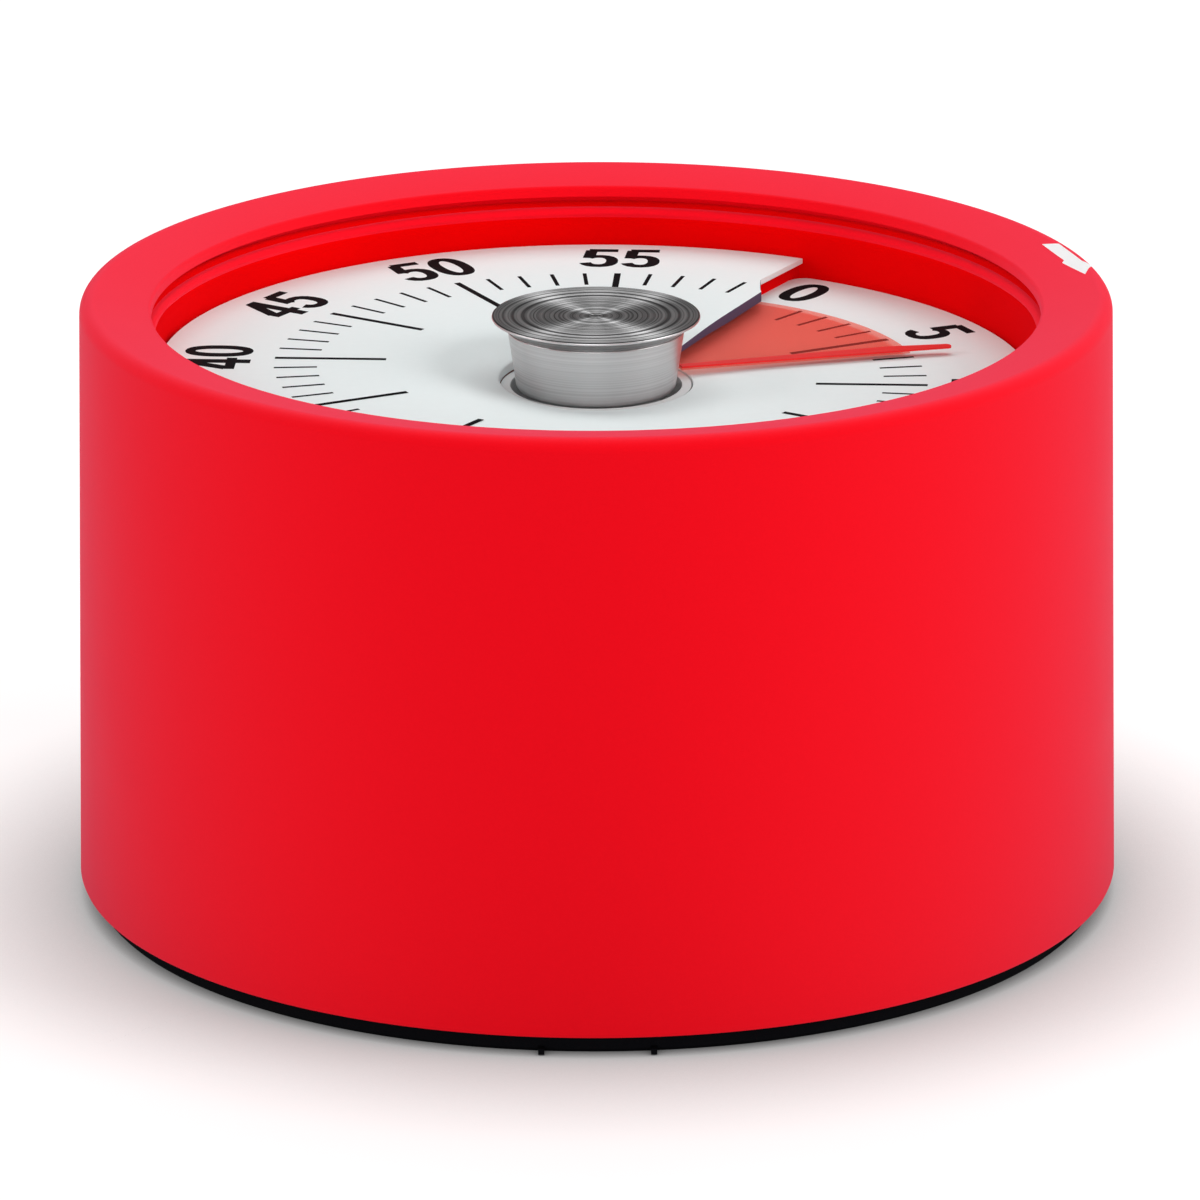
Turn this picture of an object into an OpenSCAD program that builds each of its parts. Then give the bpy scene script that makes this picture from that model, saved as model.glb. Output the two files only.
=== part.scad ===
// Visual countdown timer: a film disc is drawn out of a slit dial by a spring-wound movement.
// +Z is up and the origin is the centre of the underside. The knob, arbor and film share the Z axis.

/* [Body] */
// Diameter of the shell at its foot
body_d = 78; // [76:1:84]
// Height of the whole timer
body_h = 46; // [46:0.5:52]
// Draft of the shell's side, on the radius
shell_draft = 0.7; // [0.2:0.1:1.2]
// Wall of the shell
shell_wall = 2; // [1.6:0.1:2.4]
// Fillet round the outside of the rim
rim_fillet = 1; // [0.6:0.1:1.4]
// Slope of the rim towards the dial, in degrees
rim_slope = 17; // [12:1:20]
// Width of the rim from its crest to its inner edge
rim_w = 3; // [2.6:0.1:3.4]
// Thickness of the lip that holds the bezel down
lip_t = 2.4; // [2:0.1:3]
// Height of the black band that shows under the shell
base_band_h = 1.45; // [1:0.05:2]
// How far the black band stands back from the shell's foot
base_inset = 1.1; // [0.8:0.1:1.6]
// Thickness of the base's floor
base_floor = 2; // [1.6:0.1:2.4]
// Thickness of the rim that plugs the base into the shell
plug_t = 1.5; // [1.2:0.1:2]

/* [Bezel] */
// Gap between the lip and the bezel
bezel_gap = 0.35; // [0.2:0.05:0.5]
// Width of the bezel's rounded band
band_w = 1; // [0.6:0.1:1.4]
// Height of the bezel's rounded band
band_h = 1.6; // [1.2:0.1:2]
// Depth of the bezel's top below the rim
band_depth = 2.2; // [2:0.1:2.6]
// Wall of the bezel ring
bezel_wall = 1.6; // [1.2:0.1:2]
// Width of the ledge under the dial's rim
ledge_w = 3.4; // [2.6:0.2:4]
// Ribs that carry the rising part of the dial
dial_ribs = 16; // [10:1:24]

/* [Dial] */
// Thickness of the dial
dial_t = 0.4; // [0.3:0.05:0.5]
// Depth of the dial's low end below the rim
dial_depth = 6.85; // [6.6:0.05:7.2]
// Rise of the dial from its low end to its high end
dial_rise = 1.5; // [1.3:0.05:1.6]
// Minute at which the dial starts to rise
ramp_start = 9; // [8:1:12]
// Minute at which the dial is at its full height
ramp_end = 42; // [40:1:44]
// Direction of the zero mark, in degrees clockwise from +Y
zero_azimuth = 33.7; // [0:0.1:60]
// How far the low end runs under the high end, in degrees
dial_overlap = 5.2; // [4.6:0.2:7]
// How far the high end is cut back outside the film, in degrees
notch_back = 4.4; // [4:0.1:4.6]
// Distance of the high end's straight edge from the centre
edge_offset = 3.8; // [3.6:0.05:4]
// Angle of that edge to the zero mark, in degrees
edge_skew = 9.7; // [9.2:0.1:10.2]
// Radius inside which the dial dips towards the knob
dish_r = 16; // [14:0.5:18]
// Height of the dial's lowest inner edge over the knob's foot
dish_low = 0.25; // [0.2:0.05:0.35]
// Radius of the low end's outer corner
dial_corner = 1.4; // [1:0.1:2]

/* [Film] */
// Width of the dial outside the film
dial_ring_w = 8.3; // [7.8:0.1:8.8]
// Gap round the film where it passes the slit
film_gap = 1; // [0.8:0.1:1.4]
// Thickness of the film
film_t = 0.15; // [0.1:0.05:0.2]
// Rise of the film over one turn
film_pitch = 2.2; // [2.1:0.05:2.3]
// Height of the film over the dial's low end at zero
film_run = 0.1; // [0.1:0.05:0.15]
// Minutes set on the timer
rest_minutes = 7; // [0:1:20]
// Width of the pointer
pointer_w = 1.5; // [1.2:0.1:2]
// Thickness of the pointer
pointer_t = 0.3; // [0.2:0.05:0.5]
// How far the pointer reaches past the film
pointer_over = 3.3; // [2.8:0.1:4]
// Radius of the cup that carries the film
hub_r = 7.1; // [7:0.05:7.2]
// Wall of that cup
hub_wall = 0.7; // [0.5:0.05:0.7]
// Floor of that cup
hub_floor = 0.8; // [0.6:0.1:1]
// Depth of that cup's underside below the film
hub_depth = 3.9; // [3.8:0.05:4]
// Height of that cup's rim over the knob's foot
hub_rim = 0.15; // [0:0.05:0.3]

/* [Knob] */
// Diameter of the knob's top
knob_d = 15.5; // [14:0.5:17]
// Depth of the knob's top below the rim
knob_depth = 1.7; // [1:0.1:2.4]
// Thickness of the knob's lipped top
knob_top_t = 0.9; // [0.7:0.1:1.2]
// Diameter of the knob's side under its lip
knob_side_d = 13.7; // [13:0.1:13.9]
// Diameter of the knob's foot
knob_foot_d = 11.8; // [11:0.1:12.2]
// Height of the knob
knob_h = 5.55; // [5.4:0.05:5.6]
// Diameter of the plastic core inside the knob
knob_core_d = 9; // [8:0.5:10]

/* [Movement] */
// Diameter of the arbor
arbor_d = 4; // [3.6:0.1:4.4]
// Diameter of the arbor between the plates
arbor_core_d = 4.8; // [4.6:0.1:5.4]
// Clearance between the movement's plates and the posts
plate_clear = 1.6; // [1.2:0.1:2]
// Thickness of the movement's plates
plate_t = 1.2; // [1:0.1:1.4]
// Height between the movement's plates
plate_gap = 15.4; // [15:0.2:16.4]
// Diameter of the pillars
pillar_d = 4; // [3.4:0.2:4.6]
// How far the pillars stand in from the plates' edge
pillar_inset = 3; // [2.8:0.1:3.4]
// Thickness of the brass wheels
wheel_t = 0.8; // [0.6:0.1:1]
// Thickness of the great wheel
great_t = 1.2; // [1:0.1:1.4]
// How far the second arbor stands in from the plates' edge
second_inset = 7; // [6.6:0.1:7.4]
// Play between meshing teeth
backlash = 0.16; // [0.12:0.02:0.2]
// Diameter of the small arbors
pivot_d = 1.6; // [1.2:0.1:2]
// Running play of a pivot, on the radius
pivot_play = 0.05; // [0.02:0.01:0.08]
// Width of the mainspring's strip
spring_w = 7.6; // [6:0.2:8]
// Thickness of the mainspring's strip
spring_t = 0.35; // [0.25:0.05:0.45]
// How far the mainspring's outer coil stays inside the plates' edge
spring_inset = 13.5; // [13:0.1:15]
// Coils of the mainspring
spring_coils = 7; // [5:1:9]

/* [Alarm] */
// Diameter of the bell
bell_d = 40; // [36:1:42]
// Room between the bell's screw and the base
bell_clear = 2.8; // [2:0.1:4]
// Wall of the bell
bell_t = 0.8; // [0.6:0.1:1]
// Radius of the alarm cam
cam_r = 8; // [7:0.25:8.5]
// Size of the hammer's head
hammer_d = 4; // [3:0.2:4.6]

/* [Fasteners] */
// Diameter of the screws' shanks
screw_d = 2.8; // [2.2:0.1:3]
// Diameter of the screws' heads
screw_head_d = 5.2; // [4.6:0.1:5.4]
// Height of the screws' heads
screw_head_h = 1.5; // [1.2:0.1:1.6]
// Length of the base screws' shanks
base_screw_l = 10; // [8:0.5:14]
// Diameter of the posts that the base is screwed to
post_d = 6; // [5.6:0.1:6.2]

/* [Hidden] */

$fn = 96;
degrees_a_minute = 6;
slack = 0.02;      // between a wheel's bore and the arbor that it is pressed on
fit_gap = 0.2;     // between parts that slide together in assembly
end_gap = 0.1;     // between an arbor's end and the outside of its plate
shoulder_gap = 0.3; // between an arbor's shoulder and its plate
wheel_gap = 0.4;   // between a wheel and what stands beside it
bite = 0.2;        // how far two shapes of one part run into each other
sector_lap = 0.2;  // how far the low ledge runs under the high one, in minutes
cut = 1;           // how far a cutting tool runs past a face

// Shell, bezel and dial radii, from the outside inwards
foot_r = body_d / 2;
top_r = foot_r - shell_draft;
crest_r = top_r - rim_fillet;
shell_inner_r = top_r - shell_wall;
lip_r = crest_r - rim_w;                      // edge of the shell's lip
band_r = lip_r - bezel_gap;                   // outside of the rounded band
bezel_r = band_r - band_w;                    // wall that stands round the dial
dial_r = bezel_r - bezel_gap;
film_r = dial_r - dial_ring_w;
lip_reach_r = film_r + film_gap;              // the high end reaches the zero mark inside it
hook_w = 2.5;                                 // width of the curve from the notch to the straight edge
floor_gap = 0.7;
floor_r = lip_reach_r + floor_gap;            // inside of the bezel's floor, which the film passes
flange_r = shell_inner_r - fit_gap;
pointer_r = film_r + pointer_over;
lip_top_z = body_h - rim_w * tan(rim_slope);
lip_under_z = lip_top_z - lip_t;
foot_chamfer = 0.3;
lip_round = 0.4;                              // rounding of the lip's edge
shell_corner = 1;                             // chamfer inside the shell, under the rim

// Heights, from the rim downwards
dial_low_z = body_h - dial_depth;             // top of the dial's low end
ledge_low_z = dial_low_z - dial_t;
floor_drop = 1.65;                            // from the low ledge to the bezel's floor
floor_z = ledge_low_z - floor_drop;
floor_t = 1.2;
flange_t = 2.8;
film_zero_z = dial_low_z + film_run;          // underside of the film at the slit
rest_angle = rest_minutes * degrees_a_minute;
film_rest_z = film_zero_z + film_pitch * rest_angle / 360;
film_slit = 0.4;                              // gap between the film's two ends, in minutes
hub_floor_z = film_rest_z - hub_depth;
hub_sink = 0.55;                              // room under the cup at its lowest
hub_play = 0.15;                              // between the cup and the dial's hole
film_play = 0.1;                              // between the film and what it passes over
knob_top_z = body_h - knob_depth;
knob_foot_z = knob_top_z - knob_h;
hub_rim_z = knob_foot_z + hub_rim;
dial_hole_r = hub_r + hub_play;
dish_bend = 0.4;                              // where the dish's fall breaks, as a part of its width
film_root_r = hub_r - hub_wall + fit_gap;     // the film's inner edge over the cup's rim
dish_share = 0.9;                             // the most of the dial's width that the dish takes
knob_roof = 1.5;                              // thickness of the cap over its core
knob_core_top_z = knob_top_z - knob_roof;
core_roof = 0.4;                              // thickness of the core over the arbor's end
knob_edge = 0.25;                             // rounding of the knob's lip
plate_top_z = hub_floor_z - film_pitch * rest_angle / 360 - hub_sink;
front_z = plate_top_z - plate_t;              // underside of the front plate
rear_top_z = front_z - plate_gap;
rear_z = rear_top_z - plate_t;

// Layers between the plates
layer_gap = 1.2;                              // between a wheel and the next one over it
first_gap = 0.8;                              // between the rear plate and the great wheel
spring_gap = 0.7;                             // between the third wheel and the mainspring
great_z = rear_top_z + first_gap;
cam_z = great_z + great_t + layer_gap;
cam_t = 1.6;
second_z = cam_z;
third_z = second_z + wheel_t + layer_gap;
escape_z = third_z + wheel_t + layer_gap;
spring_z = third_z + wheel_t + spring_gap;

// Posts, lugs, plates and pillars
post_r = dial_r;                              // the base screws' posts stand under the dial's edge
post_angles = [45, 135, 225, 315];
plate_r = post_r - post_d / 2 - plate_clear;
lug_angles = [20, 150, 285];                  // lugs of the bezel that hold the front plate
lug_d = 3.6;
lug_screw_inset = 1.2;                        // from the plate's edge to the lugs' screws
lug_screw_r = plate_r - lug_screw_inset;
lug_screw_d = 1.6;
lug_screw_head_d = 3.2;
lug_screw_head_h = 1;
pillar_r = plate_r - pillar_inset;
pillar_angles = [-35, 250, 178, 118];
pillar_stud_d = 2.4;
nut_h = 0.9;
nut_d = pillar_d + 1;
window_angles = [215, 288];                   // windows that lighten the plates
window_sweep = 26;
window_r = 11;
window_w = 9;
rear_pivot_d = arbor_d - 0.8;

// Gear teeth
pressure_angle = 20;
tooth_root = 1.2;                             // depth of a tooth below the pitch circle, in modules
tooth_tip = 0.9;                              // height of a tooth over it, in modules
flank_steps = 4;
wheel_rim_w = 1.3;
spoke_w = 1.5;
wheel_hub_d = 6.4;
great_hub_d = 10;
seat_d = pivot_d + 1;                         // arbor diameter under a wheel
pinion_over = 0.5;                            // how far a pinion runs past the wheel that it meshes with

// The train's teeth and places
great_teeth = 48;
second_teeth = 36;
third_teeth = 36;
pinion_teeth = 12;
escape_teeth = 15;
great_mesh = plate_r - second_inset;          // centre distance of the first pair
great_module = 2 * great_mesh / (great_teeth + pinion_teeth);
train_module = great_module * 5 / 7;
train_mesh = train_module * (second_teeth + pinion_teeth) / 2;
great_tip_r = great_module * (great_teeth / 2 + tooth_tip);
second_angle = 0;
third_angle = 115;
escape_angle = 120;
second_at = great_mesh * [cos(second_angle), sin(second_angle)];
third_at = second_at + train_mesh * [cos(third_angle), sin(third_angle)];
escape_at = third_at + train_mesh * [cos(escape_angle), sin(escape_angle)];
escape_r = 6;
escape_tooth_h = 1.7;
escape_back_h = 0.5;                          // height of a tooth's back over its root

// Anchor and balance bar
anchor_reach = 9.7;                           // from the anchor's arbor to the escape wheel's
anchor_angle = 187;
anchor_at = escape_at + anchor_reach * [cos(anchor_angle), sin(anchor_angle)];
anchor_t = 1;
anchor_gap = 0.55;                            // between the pallets and the escape wheel's tips
pallet_w = 1.6;
pallet_half_span = 6.2;
pallet_end = 1.5;                             // the pallets end this far before the wheel's centre
boss_d = 5;                                   // bosses of the flat levers
bar_l = 11;
bar_w = 1.6;
bar_lift = 3;                                 // height of the bar over the anchor
bar_turn = 10;
bar_weight_d = 2.6;
bar_weight_h = 2.4;

// Clutch, cam and lever
clutch_h = 0.5;
clutch_arm_l = 7.5;
clutch_arm_w = 2;
clip_d = arbor_core_d + 2.4;
cam_notch_depth = 1.6;
cam_notch_w = 2.6;
lever_t = 1;
lever_w = 1.6;
lever_gap = 0.5;                              // between the lever's tip and the cam
lever_lift = 0.3;
trip_angle = 205;
trip_at = (great_tip_r + seat_d / 2 + wheel_gap) * [cos(trip_angle), sin(trip_angle)];
trip_tip_angle = trip_angle + 22;
trip_tail_l = 6.5;
trip_tail_angle = 115;
spring_inner_r = arbor_core_d / 2 + 0.1;
spring_r = plate_r - spring_inset;
stud_d = 2.4;                                 // stud that holds the mainspring's outer end
stud_gap = 0.05;                              // between the stud and the spring's last coil

// Bell and hammer
bell_screw_d = 2;
bell_screw_head_d = 4.4;
bell_screw_head_h = 1.2;
bell_drop = 2;                                // from the rear plate down to the bell's rim
bell_rim_z = rear_z - bell_drop;
bell_apex_z = base_floor + bell_clear + bell_screw_head_h;
bell_h = bell_rim_z - bell_apex_z;
bell_crown = 16;                              // half the angle of the bell's flat crown
bell_post_d = 5;
bell_flange_d = 10;
bell_flange_t = 1;
hammer_out = 2.6;                             // from the bell's rim to the hammer's arbor
hammer_angle = 135;
hammer_at = (bell_d / 2 + hammer_out) * [cos(hammer_angle), sin(hammer_angle)];
hammer_drop = 1.6;                            // from the rear plate down to the hammer's arm
hammer_arm_w = 2;
hammer_sweep = 28;
head_gap = 1;                                 // between the hammer's head and the bell
head_dip = 0.22 * bell_h;                     // how far the head reaches below the bell's rim
head_rise = 1.4;                              // how far it stands over the rim

// Base
boss_h = 2;                                   // height of the base's screw bosses over its floor
base_band_r = foot_r - base_inset;
plug_r = shell_inner_r - fit_gap;
plug_h = base_floor + boss_h;
slot_count = 12;                              // slots that let the bell sound out
slot_r = 12;
slot_l = 9;
slot_w = 1.6;
screw_sink = 0.6;                             // depth of the screws' heads below the base
screw_taper = 0.8;
screw_spare = 1;                              // depth of a screw hole past the screw's end
cross_l = 2.8;
cross_w = 0.6;
cross_depth = 0.8;
tab_x = 4.05;                                 // pry tabs at the front
tab_w = 0.45;
tab_reach = 0.6;
tab_z = 0.1;
tab_h = 0.4;

// Minutes run clockwise from the zero mark, seen from above.
function minute_angle(minute) = 90 - zero_azimuth - degrees_a_minute * minute;
function clamp01(t) = max(0, min(1, t));
function ease(t) = t * t * (3 - 2 * t);
function dial_height(minute) =
    dial_low_z + dial_rise * ease(clamp01((minute - ramp_start) / (ramp_end - ramp_start)));
// Where the high end's straight edge, which crosses the zero mark at a skew, stands at a radius
function edge_minute(radius) = 60 + (asin(edge_offset / radius) - edge_skew) / degrees_a_minute;
function film_height(minute) = film_zero_z + film_pitch * minute / 60;
function polar(r, angle) = [r * cos(angle), r * sin(angle)];
function steps(from, to, count) = [for (k = [0 : count]) from + (to - from) * k / count];

// A thin sheet that winds round Z. Each station is [minute, [[radius, underside], ...]] from the
// inside outwards, with as many points at every station.
module wound_sheet(stations, thick) {
    across = len(stations[0][1]);
    ring = 2 * across;
    last = len(stations) - 1;
    rings = [for (s = stations) let (a = minute_angle(s[0]))
             concat([for (p = s[1]) concat(polar(p[0], a), p[1])],
                    [for (k = [across - 1 : -1 : 0]) concat(polar(s[1][k][0], a), s[1][k][1] + thick)])];
    sides = [for (k = [0 : last - 1], c = [0 : ring - 1]) let (a = ring * k + c, b = ring * k + (c + 1) % ring)
             each [[a, b + ring, b], [a, a + ring, b + ring]]];
    polyhedron(points = [for (r = rings) each r],
               faces = concat([for (c = [1 : across - 1]) each sheet_end(c, ring, 0)],
                              sides, [for (c = [1 : across - 1]) each sheet_end(c, ring, ring * last, true)]));
}

// The two triangles of one stretch of a sheet's end
function sheet_end(c, ring, first, far = false) =
    let (a = first + c - 1, b = first + c, over_b = first + ring - 1 - c, over_a = first + ring - c)
    far ? [[over_b, b, a], [over_a, over_b, a]] : [[a, b, over_b], [a, over_b, over_a]];

// A ring sector of constant height between two minutes
module sector(inner_r, outer_r, low, high, from, to) {
    rotate([0, 0, minute_angle(to)])
        rotate_extrude(angle = (to - from) * degrees_a_minute)
            translate([inner_r, low])
                square([outer_r - inner_r, high - low]);
}

// ---------- housing ----------

module outer_shell() {
    slope = tan(rim_slope);
    color("crimson")
        rotate_extrude()
            polygon(concat(
                [[foot_r - foot_chamfer, base_band_h], [foot_r, base_band_h + foot_chamfer]],
                [for (a = steps(0, 90, 8)) [crest_r, body_h - rim_fillet] + polar(rim_fillet, a)],
                [[lip_r + lip_round, lip_top_z + lip_round * slope],
                 [lip_r + 0.3 * lip_round, lip_top_z - 0.25 * lip_round],
                 [lip_r, lip_top_z - lip_round], [lip_r, lip_under_z],
                 [shell_inner_r - shell_corner, lip_under_z],
                 [shell_inner_r, lip_under_z - shell_corner],
                 [shell_inner_r, base_band_h]]));
}

function band_profile() =
    [for (a = steps(0, 90, 6)) [band_r - band_w * sin(a), body_h - band_depth - band_h + band_h * cos(a)]];

module bezel_ring() {
    wall_outer = bezel_r + bezel_wall;
    ledge_inner = dial_r - ledge_w;
    low_start = -dial_overlap / degrees_a_minute;
    high_end = 60 + low_start;
    rib_w = 1.2;
    riser_w = 1.5; // in minutes
    color("firebrick")
        difference() {
            union() {
                rotate_extrude()
                    polygon(concat(
                        [[flange_r, lip_under_z - shell_corner - 2 * fit_gap],
                         [flange_r - shell_corner, lip_under_z], [band_r, lip_under_z]],
                        band_profile(),
                        [[bezel_r, floor_z], [floor_r, floor_z], [floor_r, floor_z - floor_t],
                         [wall_outer, floor_z - floor_t], [wall_outer, lip_under_z - flange_t],
                         [flange_r, lip_under_z - flange_t]]));
                // Flat ledges under the dial's low and high ends
                sector(ledge_inner, bezel_r + bite, floor_z - bite, ledge_low_z,
                       low_start - sector_lap, ramp_start);
                sector(ledge_inner, bezel_r + bite, floor_z - bite, ledge_low_z + dial_rise,
                       ramp_end, high_end - riser_w + sector_lap);
                // Riser that closes the step between the dial's two ends
                sector(floor_r + bite, bezel_r + bite, floor_z - bite, ledge_low_z + dial_rise - end_gap,
                       high_end - riser_w, high_end);
                // Ribs under its rising part
                for (minute = steps(ramp_start, ramp_end, dial_ribs + 1))
                    if (minute > ramp_start && minute < ramp_end)
                        rotate([0, 0, minute_angle(minute)])
                            translate([ledge_inner, 0, floor_z - bite])
                                cube([bezel_r + bite - ledge_inner, rib_w,
                                      dial_height(minute - rib_w / ledge_inner * 180 / PI / degrees_a_minute)
                                      - dial_t - floor_z + bite]);
                // Posts for the base screws and lugs for the movement
                for (angle = post_angles)
                    translate(concat(polar(post_r, angle), base_floor + boss_h))
                        cylinder(d = post_d, h = floor_z - floor_t / 2 - base_floor - boss_h);
                for (angle = lug_angles)
                    translate(concat(polar(plate_r, angle), plate_top_z))
                        cylinder(d = lug_d, h = floor_z - floor_t / 2 - plate_top_z);
            }
            for (angle = post_angles)
                translate(concat(polar(post_r, angle), base_floor + boss_h - cut))
                    cylinder(d = screw_d + 2 * pivot_play, h = base_screw_l + cut + screw_spare);
        }
}

// The dial's outer radius near its low end, whose corner is rounded
function low_end_radius(minute) =
    let (across = (minute + dial_overlap / degrees_a_minute) * degrees_a_minute * PI / 180 * dial_r,
         left = max(0, dial_corner - across))
    dial_r - dial_corner + sqrt(dial_corner * dial_corner - left * left);

// Height of the dial's inner edge, which keeps clear of the film and the pointer below it
function dish_height(minute) = min(dial_height(minute),
    max(knob_foot_z + dish_low, film_height(minute - 60) + film_t + pointer_t + film_play + dial_t));

// Height of the dial's top, which dips towards the knob
function dial_top(minute, radius) =
    let (level = dial_height(minute), dip = clamp01((dish_r - radius) / (dish_r - dial_hole_r)))
    level - (level - dish_height(minute)) * dip * dip;

// The dial's underside at one minute, from the hole out to a radius
function dial_section(minute, outer_r) =
    let (dish_w = min(dish_r - dial_hole_r, dish_share * (outer_r - dial_hole_r)))
    [minute, [for (r = [dial_hole_r, dial_hole_r + dish_bend * dish_w, dial_hole_r + dish_w, outer_r])
              [r, dial_top(minute, r) - dial_t]]];

module dial_plate() {
    start = -dial_overlap / degrees_a_minute;
    notch = 60 - notch_back / degrees_a_minute;
    corner_end = start + dial_corner / dial_r * 180 / PI / degrees_a_minute;
    minutes = concat(steps(start, corner_end, 5),
                     [for (m = steps(corner_end, ramp_start, 17)) if (m > corner_end) m],
                     [for (m = steps(ramp_start, ramp_end, 66)) if (m > ramp_start) m],
                     [for (m = steps(ramp_end, notch, 34)) if (m > ramp_end) m]);
    full = [for (m = minutes) dial_section(m, low_end_radius(m))];
    // Past the notch the high end narrows along its straight edge, down to the hub
    hook_end_r = lip_reach_r - hook_w;
    hook_end = edge_minute(hook_end_r);
    hook = [dial_section(notch + 0.02, lip_reach_r + 0.16 * hook_w),
            dial_section((notch + hook_end) / 2, lip_reach_r - 0.52 * hook_w)];
    edge = [for (r = steps(hook_end_r, dial_hole_r + hub_play, 24)) dial_section(edge_minute(r), r)];
    color("white")
        wound_sheet(concat(full, hook, edge), dial_t);
}

module base_cover() {
    color([0.04, 0.04, 0.05])
        difference() {
            union() {
                rotate_extrude()
                    polygon([[0, 0], [base_band_r - foot_chamfer, 0], [base_band_r, foot_chamfer],
                             [base_band_r, base_band_h],
                             [plug_r, base_band_h], [plug_r, plug_h], [plug_r - plug_t, plug_h],
                             [plug_r - plug_t, base_floor], [0, base_floor]]);
                for (angle = post_angles)
                    translate(concat(polar(post_r, angle), base_floor - bite))
                        cylinder(d = post_d, h = boss_h + bite);
                // Pry tabs at the front
                for (side = [-1, 1])
                    translate([side * tab_x - tab_w / 2, -base_band_r - tab_reach, tab_z])
                        cube([tab_w, tab_reach + 1, tab_h]);
            }
            for (angle = post_angles)
                translate(polar(post_r, angle)) {
                    translate([0, 0, -cut])
                        cylinder(d = screw_d + 2 * fit_gap, h = base_floor + boss_h + 2 * cut);
                    translate([0, 0, -cut])
                        cylinder(d = screw_head_d + 2 * fit_gap, h = cut + screw_head_h + screw_sink);
                }
            // Slots that let the bell sound out
            for (k = [0 : slot_count - 1])
                rotate([0, 0, (k + 0.5) * 360 / slot_count])
                    translate([slot_r, -slot_w / 2, -cut])
                        cube([slot_l, slot_w, base_floor + 2 * cut]);
        }
}

// A pan-head screw with its head down, whose shank starts at z = 0
module screw(length) {
    translate([0, 0, -screw_head_h])
        difference() {
            cylinder(d1 = screw_head_d - screw_taper, d2 = screw_head_d, h = screw_head_h);
            for (turn = [0, 90])
                rotate([0, 0, turn])
                    translate([-cross_l / 2, -cross_w / 2, -cut])
                        cube([cross_l, cross_w, cut + cross_depth]);
        }
    translate([0, 0, -bite])
        cylinder(d = screw_d, h = length + bite);
}

module base_screws() {
    color("dimgray")
        for (angle = post_angles)
            translate(concat(polar(post_r, angle), screw_head_h + screw_sink))
                screw(base_screw_l);
}

// ---------- movement frame ----------

module plate(z) {
    difference() {
        translate([0, 0, z])
            cylinder(r = plate_r, h = plate_t);
        for (at = [second_at, third_at, escape_at, anchor_at, hammer_at, trip_at])
            translate(concat(at, z - cut))
                cylinder(d = pivot_d + 2 * pivot_play, h = plate_t + 2 * cut);
        for (angle = pillar_angles)
            translate(concat(polar(pillar_r, angle), z - cut))
                cylinder(d = pillar_stud_d + 2 * pivot_play, h = plate_t + 2 * cut);
        // Windows that lighten the plate
        for (angle = window_angles)
            rotate([0, 0, angle])
                translate([0, 0, z - cut])
                    rotate_extrude(angle = window_sweep)
                        translate([window_r, 0])
                            square([window_w, plate_t + 2 * cut]);
    }
}

module front_plate() {
    color("silver")
        difference() {
            plate(front_z);
            translate([0, 0, front_z - cut])
                cylinder(d = arbor_d + 2 * pivot_play, h = plate_t + 2 * cut);
            for (angle = lug_angles)
                translate(concat(polar(lug_screw_r, angle), front_z - cut))
                    cylinder(d = lug_screw_d + 2 * pivot_play, h = plate_t + 2 * cut);
        }
}

module rear_plate() {
    color("silver")
        difference() {
            plate(rear_z);
            translate([0, 0, rear_z - cut])
                cylinder(d = rear_pivot_d + 2 * pivot_play, h = plate_t + 2 * cut);
        }
}

module plate_pillars() {
    color("goldenrod")
        for (angle = pillar_angles)
            translate(concat(polar(pillar_r, angle), rear_top_z)) {
                cylinder(d = pillar_d, h = plate_gap);
                translate([0, 0, -plate_t - nut_h])
                    cylinder(d = pillar_stud_d, h = plate_gap + 2 * (plate_t + nut_h));
            }
}

module pillar_nuts() {
    color("gainsboro")
        for (angle = pillar_angles, z = [rear_z - nut_h, plate_top_z])
            translate(concat(polar(pillar_r, angle), z))
                difference() {
                    cylinder(d = nut_d, h = nut_h - end_gap, $fn = 6);
                    translate([0, 0, -cut])
                        cylinder(d = pillar_stud_d + 2 * slack, h = nut_h + 2 * cut);
                }
}

// ---------- wheels ----------

// Half a tooth's angle at radius r, with the play taken off each flank
function half_tooth(teeth, size, r, play) =
    let (pitch_r = teeth * size / 2, base_r = pitch_r * cos(pressure_angle),
         at_pitch = tan(pressure_angle) * 180 / PI - pressure_angle,
         roll = sqrt(max(0, pow(r / base_r, 2) - 1)) * 180 / PI,
         flank = roll - atan(roll * PI / 180))
    90 / teeth - play / (4 * pitch_r) * 180 / PI + at_pitch - flank;

module gear(teeth, size, play, thick) {
    pitch_r = teeth * size / 2;
    root_r = pitch_r - tooth_root * size;
    tip_r = pitch_r + tooth_tip * size;
    start_r = max(root_r, pitch_r * cos(pressure_angle));
    radii = steps(start_r, tip_r, flank_steps);
    root_half = half_tooth(teeth, size, start_r, play);
    linear_extrude(thick)
        polygon([for (k = [0 : teeth - 1]) let (mid = 360 / teeth * k)
                 each concat([polar(root_r, mid - root_half)],
                             [for (r = radii) polar(r, mid - half_tooth(teeth, size, r, play))],
                             [for (j = [flank_steps : -1 : 0])
                              polar(radii[j], mid + half_tooth(teeth, size, radii[j], play))],
                             [polar(root_r, mid + root_half)])]);
}

// A spoked brass wheel with a bore
module spoked_wheel(teeth, size, thick, bore_d, hub_d) {
    rim_r = teeth * size / 2 - tooth_root * size - wheel_rim_w;
    difference() {
        gear(teeth, size, backlash, thick);
        translate([0, 0, -cut])
            cylinder(d = bore_d, h = thick + 2 * cut);
        difference() {
            translate([0, 0, -cut])
                cylinder(r = rim_r, h = thick + 2 * cut);
            translate([0, 0, -2 * cut])
                cylinder(d = hub_d, h = thick + 4 * cut);
            for (turn = [0, 45, 90, 135])
                rotate([0, 0, turn])
                    translate([-rim_r - cut, -spoke_w / 2, -2 * cut])
                        cube([2 * rim_r + 2 * cut, spoke_w, thick + 4 * cut]);
        }
    }
}

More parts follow.
